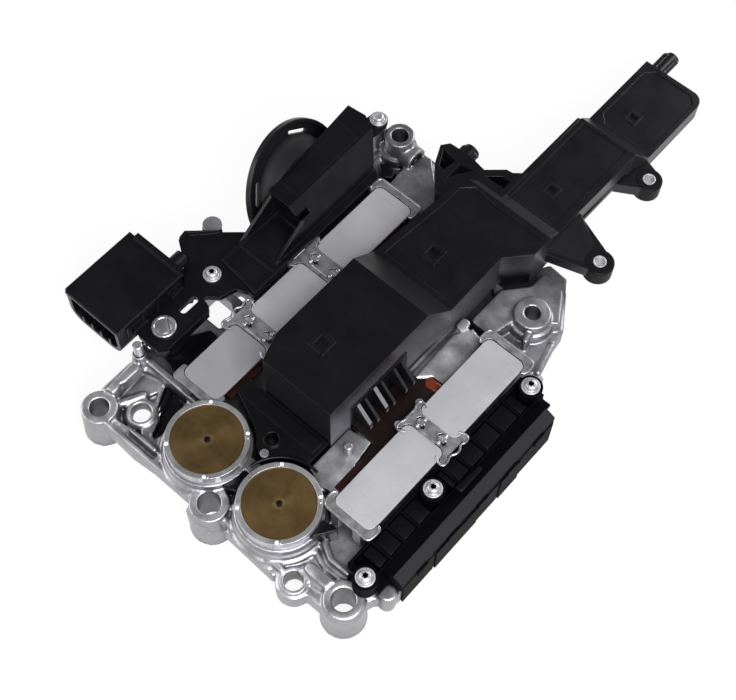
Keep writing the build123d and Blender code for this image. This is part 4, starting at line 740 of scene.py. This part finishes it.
# brown lead frame between the control unit and the right-hand coils, and the amber pad at its end
leadLook = dict(edge=1.0, blocks=(
    (((32.2, 93), (43, 92.4), (49.6, 91.5), (51.4, 76), (57.2, 76), (57.2, 150), (47.6, 150), (41.5, 144),
      (32.2, 144)), 27.0, 41.2),
))
blockPiece("leadFrame", leadLook, umberPlastic)
padLook = dict(edge=1.5, blocks=(
    (((45.6, 145.4), (49, 142.4), (56.8, 143.4), (56.8, 150.2), (47.4, 150.2)), 40.6, 42.2),
))
blockPiece("leadPad", padLook, amberPlastic)

# bright peened marks that hold each accumulator sleeve
stakeLook = dict(radius=1.35, height=0.7, level=48.3, ring=24.7, turns=(50, 129, 229, 310))
mesh = bmesh.new()
for side in ("left", "right"):
    center = middle(f"accumulator_sleeve_{side}")
    for turn in stakeLook["turns"]:
        turn = math.radians(turn)
        place = (
            center[0] + stakeLook["ring"] * mm * math.cos(turn),
            center[1] + stakeLook["ring"] * mm * math.sin(turn), stakeLook["level"] * mm,
        )
        flatten = Matrix.Diagonal((1, 1, stakeLook["height"] / stakeLook["radius"], 1))
        bmesh.ops.create_uvsphere(
            mesh, u_segments=16, v_segments=8, radius=stakeLook["radius"] * mm,
            matrix=Matrix.Translation(place) @ flatten,
        )
newPiece("sleeveStakes", mesh, peenedAluminium)

# black cups in the centre holes of the turned pistons: painted shade
holeShadeLook = dict(radius=1.55, depth=0.5, proud=0.02, steps=20)
for side in ("left", "right"):
    piston = f"accumulator_piston_{side}"
    x, y, _ = middle(piston)
    radius, top = holeShadeLook["radius"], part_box(piston)[1][2] / mm + holeShadeLook["proud"]
    floor = top - holeShadeLook["depth"]
    holeShade = dict(
        center=(x / mm, y / mm), profile=((0, floor), (radius, floor), (radius, top), (0, top)),
        steps=holeShadeLook["steps"],
    )
    turnedPiece(f"pistonHoleShade_{side}", holeShade, inkNylon, body=f"piston_{side}")

# disc springs under the pistons, copied into meshes of their own; nothing here flattens them as a piston
# goes down
for side in ("left", "right"):
    spring = f"accumulator_spring_{side}"
    x, y, _ = middle(spring)
    piece = newPiece(f"discSprings_{side}", nodeCopy(spring), screwSteel, replaces=[spring])
    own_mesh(piece)

# flanged screws with a six-lobe recess
screwLook = dict(
    # place, level of the seat and length below it
    seats=((103.4, 24.0, 46.5, 24.5), (97.4, 91.8, 46.5, 24.5), (98.8, 183.8, 46.5, 24.5),
           (-102.6, 109.9, 48.0, 17.0), (-101.8, 270.6, 52.0, 18.0)),
    # radius and level, from the tip and from the seat
    tip=((0.0, 0.0), (1.9, 0.0), (2.5, 0.8)),
    head=((2.5, 0.0), (6.0, 0.0), (6.0, 0.9), (5.7, 1.3), (4.9, 1.35), (4.4, 1.0), (3.9, 1.4), (3.9, 3.0),
          (3.5, 3.8), (2.8, 4.2)),
    socket=1.75, lobe=0.28, lobes=6, socketDepth=0.6, steps=36, slack=1e-7,
)
mesh = bmesh.new()
for x, y, seat, length in screwLook["seats"]:
    profile = [(radius, seat - length + level) for radius, level in screwLook["tip"]]
    profile += [(radius, seat + level) for radius, level in screwLook["head"]]
    made = turned(mesh, (x, y), profile, steps=screwLook["steps"])
    midX, midY, top = x * mm, y * mm, profile[-1][1] * mm
    rim = [v for v in made if abs(v.co.z - top) < screwLook["slack"]]
    rimEdges = {e for v in rim for e in v.link_edges if e.other_vert(v) in rim}
    socket = bmesh.ops.create_circle(
        mesh, segments=screwLook["steps"], radius=screwLook["socket"] * mm,
        matrix=Matrix.Translation((midX, midY, top)),
    )["verts"]
    for vert in socket:
        away = Vector((vert.co.x - midX, vert.co.y - midY, 0))
        turn = math.atan2(away.y, away.x)
        vert.co += away.normalized() * screwLook["lobe"] * mm * math.cos(screwLook["lobes"] * turn)
    socketEdges = {e for v in socket for e in v.link_edges}
    bmesh.ops.bridge_loops(mesh, edges=list(rimEdges | socketEdges))
    sunk = bmesh.ops.extrude_edge_only(mesh, edges=list(socketEdges))["geom"]
    floor = [g for g in sunk if isinstance(g, bmesh.types.BMVert)]
    bmesh.ops.translate(mesh, verts=floor, vec=(0, 0, -screwLook["socketDepth"] * mm))
    mesh.faces.new(sorted(floor, key=lambda v: math.atan2(v.co.y - midY, v.co.x - midX)))
weld(mesh)
newPiece("flangeScrewSet", mesh, screwSteel, replaces=["flange_screws"])

# rolled bush with its split line open towards the connector
bushLook = dict(
    center=(-98.5, 62.5), steps=48, split=5.0, facing=112.0,
    profile=((5.65, 30.0), (8.0, 30.0), (8.0, 49.1), (7.5, 49.6), (6.15, 49.6), (5.65, 49.1), (5.65, 30.0)),
)
turnedPiece(
    "splitBush", bushLook, turnedAluminium, angle=360.0 - bushLook["split"],
    start=bushLook["facing"] + bushLook["split"] / 2, replaces=["bracket_bush"],
)

# small cast peg beside the locating pin
pegLook = dict(
    center=(-104.6, 49.2), steps=20,
    profile=((0, 26.5), (2.55, 26.5), (1.7, 29.5), (1.7, 37.9), (1.1, 38.5), (0, 38.5)),
)
turnedPiece("castPeg", pegLook, castAluminium)

# raised lip of the front cover round the right accumulator, and the pin next to its hole
lipLook = dict(
    center=(35.5, 24.3), steps=40, sweep=84.0, start=84.0,
    profile=((29.6, 44.4), (31.2, 44.4), (31.2, 45.8), (30.8, 46.2), (30.0, 46.2), (29.6, 45.8),
             (29.6, 44.4)),
)
turnedPiece(
    "coverLip", lipLook, inkNylon, angle=lipLook["sweep"], start=lipLook["start"],
)
pinLook = dict(
    center=(6.2, 42.6), steps=28, profile=((0, 44.4), (2.9, 44.4), (2.9, 44.9), (2.6, 45.2), (0, 45.2)),
)
turnedPiece("coverPin", pinLook, clipSteel)

# rolled edges, hooks and pressed tongues of the sheet clips between the plates
clipLook = dict(
    places=((-54.0, 101.25, -1), (-54.0, 162.75, -1), (72.4, 120.1, 1)),  # and the side that faces outwards
    level=46.3, radius=0.8, outer=(
        (13, 10.6), (16.5, 12.4), (20, 11.6), (20.2, 7.4), (18.6, 5), (21, 2), (21, -1.5), (18.6, -5),
        (20.4, -9), (20, -13.2), (16, -13.4), (13, -11),
    ), inner=(
        (-12, 10.4), (-15, 11.6), (-18.2, 11), (-18.4, 7), (-16.6, 4.4), (-17.4, 0), (-16.6, -4.4),
        (-18.2, -8), (-18, -12.4), (-15, -13), (-12, -11),
    ),
    ridge=4.5, ridgeHalf=6.5, ridgeRise=0.1,
)
tongueLook = dict(
    spacing=8.4, rise=0.2, bump=1.75, flat=0.8, bumps=((0.6, 3.1), (-0.4, -3.0)),
    # both ends and the radius of the bars across a tongue
    bars=((((-2.4, 0.2, 0.5), (2.6, 0.2, 0.5)), 0.75), (((-4.4, 0.6, 0.1), (-2.8, 3.4, 0.1)), 0.45)),
    holes=((-2.6, 1.9), (2.8, -1.7)), holeRadius=1.35, holeLow=-1.0, holeHigh=0.55, holeSteps=16,
)
rolled = []
mesh = bmesh.new()
shadow = bmesh.new()
for x, y, outward in clipLook["places"]:
    level = clipLook["level"]
    for route in (clipLook["outer"], clipLook["inner"]):
        rolled.append([(x + outward * dx, y + dy, level) for dx, dy in route])
    half, top = clipLook["ridgeHalf"], level + clipLook["ridgeRise"]
    rolled.append([(x + dx, y - clipLook["ridge"], top) for dx in (-half, 0, half)])
    for side in (-1, 1):
        midX, rise = x + side * tongueLook["spacing"], level + tongueLook["rise"]
        for dx, dy in tongueLook["bumps"]:
            bmesh.ops.create_uvsphere(
                mesh, u_segments=14, v_segments=8, radius=tongueLook["bump"] * mm,
                matrix=Matrix.Translation(((midX + dx) * mm, (y + dy) * mm, rise * mm))
                @ Matrix.Diagonal((1, 1, tongueLook["flat"], 1)),
            )
        for ends, radius in tongueLook["bars"]:
            start, end = ((midX + dx, y + dy, rise + dz) for dx, dy, dz in ends)
            bar(mesh, start, end, radius)
        # black discs in the tongues' holes: painted shade
        low, high = level + tongueLook["holeLow"], level + tongueLook["holeHigh"]
        for dx, dy in tongueLook["holes"]:
            wide = tongueLook["holeRadius"]
            turned(
                shadow, (midX + dx, y + dy), ((0, low), (wide, low), (wide, high), (0, high)),
                steps=tongueLook["holeSteps"],
            )
weld(shadow)
wire("clipEdges", rolled, clipLook["radius"], clipSteel)
newPiece("clipTongues", mesh, clipSteel)
newPiece("clipHoleShade", shadow, inkNylon)
endClipLook = dict(
    places=((-54.0, 234.0, 1), (72.4, 46.4, -1), (72.4, 193.8, 1)),
    # the left half of the edge, from the open end round to the middle; the right half mirrors it
    half=((-16, -6.4), (-18.6, -6.0), (-18.4, 0), (-17.5, 4.6), (-13, 4.8)),
)
endRolls = []
for x, y, side in endClipLook["places"]:
    around = list(endClipLook["half"]) + [(-dx, dy) for dx, dy in reversed(endClipLook["half"])]
    endRolls.append([(x + dx, y + side * dy, clipLook["level"]) for dx, dy in around])
wire("endClipEdges", endRolls, clipLook["radius"], clipSteel)

# tiles and cable guide of the harness cover
trayLook = dict(
    left=91.6, right=104.8, floor=36.1, high=41.4, gap=1.3, edge=0.6,
    tiles=((34, 44), (44, 57), (57, 70), (70, 83), (101, 107), (107, 119), (119, 134), (134, 150),
           (150, 166), (166, 175)),
    guide=((106.5, 101), (111.8, 101), (111.8, 122), (108.2, 122)), guideLow=41.5, guideHigh=47.4,
    guideEdge=1.2,
)
mesh = bmesh.new()
left, right = trayLook["left"], trayLook["right"]
for near, far in trayLook["tiles"]:
    near, far = near + trayLook["gap"], far - trayLook["gap"]
    tile = ((left, near), (right, near), (right, far), (left, far))
    prism(mesh, tile, trayLook["floor"], trayLook["high"], edge=trayLook["edge"])
prism(mesh, trayLook["guide"], trayLook["guideLow"], trayLook["guideHigh"], edge=trayLook["guideEdge"])
newPiece("harnessTiles", mesh, tileNylon)

# black sheets as painted shade behind the cooling fins of the control unit, and on the shelf under them
finShadeLook = dict(edge=0.2, blocks=(
    (((31.7, 92), (32.5, 92), (32.5, 143), (31.7, 143)), 40.0, 66.0),
    (((31.7, 92), (42.7, 92), (42.7, 143), (31.7, 143)), 37.8, 38.8),
))
blockPiece("finShadeSheet", finShadeLook, inkNylon)

# painted highlights on the top edges of two of the fins
stripLook = dict(starts=((31.9, 63.4), (42.6, 49.6)), rows=((98.0, 2.5), (113.0, 2.6)), sheet=0.7)
mesh = bmesh.new()
(x1, z1), (x2, z2) = stripLook["starts"]
slope = math.atan2(z1 - z2, x2 - x1)
for y, wide in stripLook["rows"]:
    bmesh.ops.create_cube(mesh, size=mm, matrix=(
        Matrix.Translation(((x1 + x2) / 2 * mm, y * mm, (z1 + z2) / 2 * mm)) @ Matrix.Rotation(slope, 4, "Y")
        @ Matrix.Diagonal((math.hypot(x2 - x1, z2 - z1), wide, stripLook["sheet"], 1))
    ))
newPiece("finHighlightStrips", mesh, finHighlightNylon)

# thick round ends and gussets of the far tabs
tabLook = dict(
    bore=4.7, edge=0.8,
    # place, lowest and highest level, and radius
    places=((62.0, 359.0, 31.0, 44.25, 9.3), (77.0, 283.2, 35.0, 48.25, 9.8)),
    gusset=((46, 299, 59), (46, 296, 59), (46, 305, 47.8), (46, 266, 47.8), (66, 291.6, 47.8),
            (69, 275.5, 47.8), (46, 299, 44), (46, 272, 44)),
)
mesh = bmesh.new()
for x, y, low, high, radius in tabLook["places"]:
    bore, edge = tabLook["bore"], tabLook["edge"]
    turned(mesh, (x, y), (
        (bore, low), (radius - edge, low), (radius, low + edge), (radius, high - edge),
        (radius - edge, high), (bore, high), (bore, low),
    ))
weld(mesh)
corners = [mesh.verts.new([v * mm for v in point]) for point in tabLook["gusset"]]
bmesh.ops.convex_hull(mesh, input=corners)
newPiece("tabEnds", mesh, tabNylon)

# side ledges of the arm, and prongs of both pegs
ledgeLook = dict(edge=0.6, blocks=(
    (((1.0, 284), (3.8, 283), (3.8, 357), (1.0, 356)), 47.4, 61.4),
    (((45, 297), (48.9, 298), (48.9, 336), (45, 337)), 43.4, 47.6),
), prongs=(
    ((9.4, 438, 43.0), (9.4, 451.8, 43.0), 3.2), ((16.4, 438, 43.4), (16.4, 451.8, 43.4), 2.6),
    ((-39.8, 281, 59.0), (-39.8, 286.6, 59.0), 3.0), ((-32.4, 281, 59.0), (-32.4, 286.6, 59.0), 2.8),
))
mesh = bmesh.new()
for outline, low, high in ledgeLook["blocks"]:
    prism(mesh, outline, low, high, edge=ledgeLook["edge"])
for start, end, radius in ledgeLook["prongs"]:
    bar(mesh, start, end, radius)
newPiece("sideLedges", mesh, blackNylon)

# small cast post in front of the lead frame
postLook = dict(
    center=(42.2, 78.4), steps=24,
    profile=((0, 40.0), (3.78, 40.0), (2.7, 42.0), (2.7, 48.8), (1.9, 49.6), (0, 49.6)),
)
turnedPiece("castPost", postLook, castAluminium)

# cup of the round plug's flange, turned about the plug's tilted axis and cut at the long box's wall
cupLook = dict(
    center=(-112.0, 196.5, 45.0), turn=8.0, tilt=25.0, steps=72,
    profile=((34.8, -2.3), (34.2, -4.4), (32.6, -6.2), (30.2, -10.0), (28.0, -14.5), (26.6, -19.5),
             (26.0, -25.0), (24.9, -25.0), (24.9, -2.3), (34.8, -2.3)),
    wallNear=(-107.0, 169.5), wallFar=(-115.0, 254.5),
)
mesh = bmesh.new()
turned(mesh, (0, 0), cupLook["profile"], steps=cupLook["steps"])
weld(mesh)
lean = (
    Matrix.Translation([v * mm for v in cupLook["center"]])
    @ Matrix.Rotation(math.radians(cupLook["turn"]), 4, "Z")
    @ Matrix.Rotation(math.radians(-90 - cupLook["tilt"]), 4, "Y")
)
bmesh.ops.transform(mesh, matrix=lean, verts=mesh.verts)
(nearX, nearY), (farX, farY) = cupLook["wallNear"], cupLook["wallFar"]
cut = bmesh.ops.bisect_plane(
    mesh, geom=list(mesh.verts) + list(mesh.edges) + list(mesh.faces),
    plane_co=(nearX * mm, nearY * mm, 0), plane_no=(farY - nearY, nearX - farX, 0), clear_outer=True,
)["geom_cut"]
bmesh.ops.holes_fill(mesh, edges=[g for g in cut if isinstance(g, bmesh.types.BMEdge)])
newPiece("plugCup", mesh, mattNylon)

# the plug moulding with its sleeve kept below the top of the long box, and the box's lid
plugLook = dict(
    above=72.01, reach=95.0,
    sleeve=((-107, 169.5), (-76.5, 169.5), (-77.5, 238), (-89, 250), (-101, 256), (-115, 254.5)),
    lid=((-106.6, 180), (-92, 180), (-93, 238), (-101, 240), (-113, 240)), lidLow=70.8, lidHigh=71.95,
)
knife = bmesh.new()
prism(knife, plugLook["sleeve"], plugLook["above"], plugLook["reach"])
bmesh.ops.recalc_face_normals(knife, faces=knife.faces)
trimmed = carvedBy(nodeCopy("plug_housing"), knife)
prism(trimmed, plugLook["lid"], plugLook["lidLow"], plugLook["lidHigh"])
newPiece("plugSkin", trimmed, blackNylon, replaces=["plug_housing"])
print("small pieces ready")


# the photograph's view: where the camera stands in metres, and its angles in degrees
shotLook = dict(
    eye=(0.265727, -0.175600, 0.828522), turn=39.6868, rise=62.6225, roll=1.8148,
    lens=69.0136, sensor=36.0,
)


def placeCamera(look):
    turn, rise, roll = (math.radians(look[key]) for key in ("turn", "rise", "roll"))
    back = Vector((math.sin(turn) * math.cos(rise), -math.cos(turn) * math.cos(rise), math.sin(rise)))
    right = Vector((math.cos(turn), math.sin(turn), 0))
    up = back.cross(right)
    rightRolled = right * math.cos(roll) + up * math.sin(roll)
    upRolled = up * math.cos(roll) - right * math.sin(roll)
    data = bpy.data.cameras.new("shot")
    data.lens = look["lens"]
    data.sensor_width = look["sensor"]
    data.sensor_fit = "HORIZONTAL"
    data.clip_start = 0.01
    camera = bpy.data.objects.new("shot", data)
    bpy.context.scene.collection.objects.link(camera)
    turnedBack = Matrix((rightRolled, upRolled, back)).transposed().to_4x4()
    camera.matrix_world = Matrix.Translation(look["eye"]) @ turnedBack
    bpy.context.scene.camera = camera


placeCamera(shotLook)

studioLook = dict(
    floorGap=0.0005, floorSize=8.0, floorGlow=0.90, floorColor="#F6F6F6", floorRoughness=0.9,
    wallTone=0.38, ceilingTone=0.10, wallTop=0.15, ceilingStart=0.75, aim=(0, 0.13, 0.03),
    # place and size in metres, power in watts
    lamps=(
        ("keyLamp", (0.75, -0.30, 1.00), 1.0, 26.0),
        ("fillLamp", (-0.85, -0.45, 0.65), 0.8, 6.0),
        ("rimLamp", (0.25, 1.25, 0.60), 0.6, 8.0),
    ),
)


def studio(look):
    scene = bpy.context.scene
    world = scene.world or bpy.data.worlds.new("studio")
    scene.world = world
    world.use_nodes = True
    tree = world.node_tree
    tree.nodes.clear()
    # pale walls near the horizon and a dim ceiling, the same for every ray
    heading = addNode(tree, "ShaderNodeTexCoord").outputs["Generated"]
    parts = addNode(tree, "ShaderNodeSeparateXYZ", _0=heading)
    tone = addNode(
        tree, "ShaderNodeMapRange", _0=parts.outputs[2], _1=look["wallTop"], _2=look["ceilingStart"],
        _3=look["wallTone"], _4=look["ceilingTone"],
    )
    glow = addNode(tree, "ShaderNodeBackground", Color=tone.outputs[0], Strength=1.0)
    out = addNode(tree, "ShaderNodeOutputWorld")
    tree.links.new(glow.outputs[0], out.inputs[0])

    mesh = bmesh.new()
    bmesh.ops.create_grid(mesh, x_segments=1, y_segments=1, size=look["floorSize"] / 2)
    bmesh.ops.translate(mesh, verts=mesh.verts, vec=(0, 0, cadBounds[0][2] - look["floorGap"]))
    data = bpy.data.meshes.new("floor")
    mesh.to_mesh(data)
    mesh.free()
    floor = bpy.data.objects.new("floor", data)
    scene.collection.objects.link(floor)
    material = bpy.data.materials.new("paleFloor")
    material.use_nodes = True
    tree = material.node_tree
    shader = tree.nodes["Principled BSDF"]
    shader.inputs["Base Color"].default_value = linear(look["floorColor"])
    shader.inputs["Roughness"].default_value = look["floorRoughness"]
    rays = addNode(tree, "ShaderNodeLightPath")
    seen = addNode(
        tree, "ShaderNodeMath", dict(operation="ADD"), _0=rays.outputs["Is Camera Ray"],
        _1=rays.outputs["Is Glossy Ray"],
    )
    seen = addNode(
        tree, "ShaderNodeMath", dict(operation="ADD", use_clamp=True), _0=seen.outputs[0],
        _1=rays.outputs["Is Transmission Ray"],
    )
    glow = addNode(tree, "ShaderNodeEmission", Color=(1, 1, 1, 1), Strength=1.0)
    share = addNode(
        tree, "ShaderNodeMath", dict(operation="MULTIPLY"), _0=seen.outputs[0], _1=look["floorGlow"],
    )
    blended = addNode(
        tree, "ShaderNodeMixShader", _0=share.outputs[0], _1=shader.outputs[0], _2=glow.outputs[0],
    )
    tree.links.new(blended.outputs[0], tree.nodes["Material Output"].inputs[0])
    data.materials.append(material)

    for label, place, size, power in look["lamps"]:
        lamp = bpy.data.lights.new(label, "AREA")
        lamp.size = size
        lamp.energy = power
        holder = bpy.data.objects.new(label, lamp)
        scene.collection.objects.link(holder)
        holder.location = place
        aim = Vector(look["aim"]) - Vector(place)
        holder.rotation_euler = aim.to_track_quat("-Z", "Y").to_euler()


studio(studioLook)
bpy.context.scene.view_settings.view_transform = "Standard"
print("camera and studio ready")
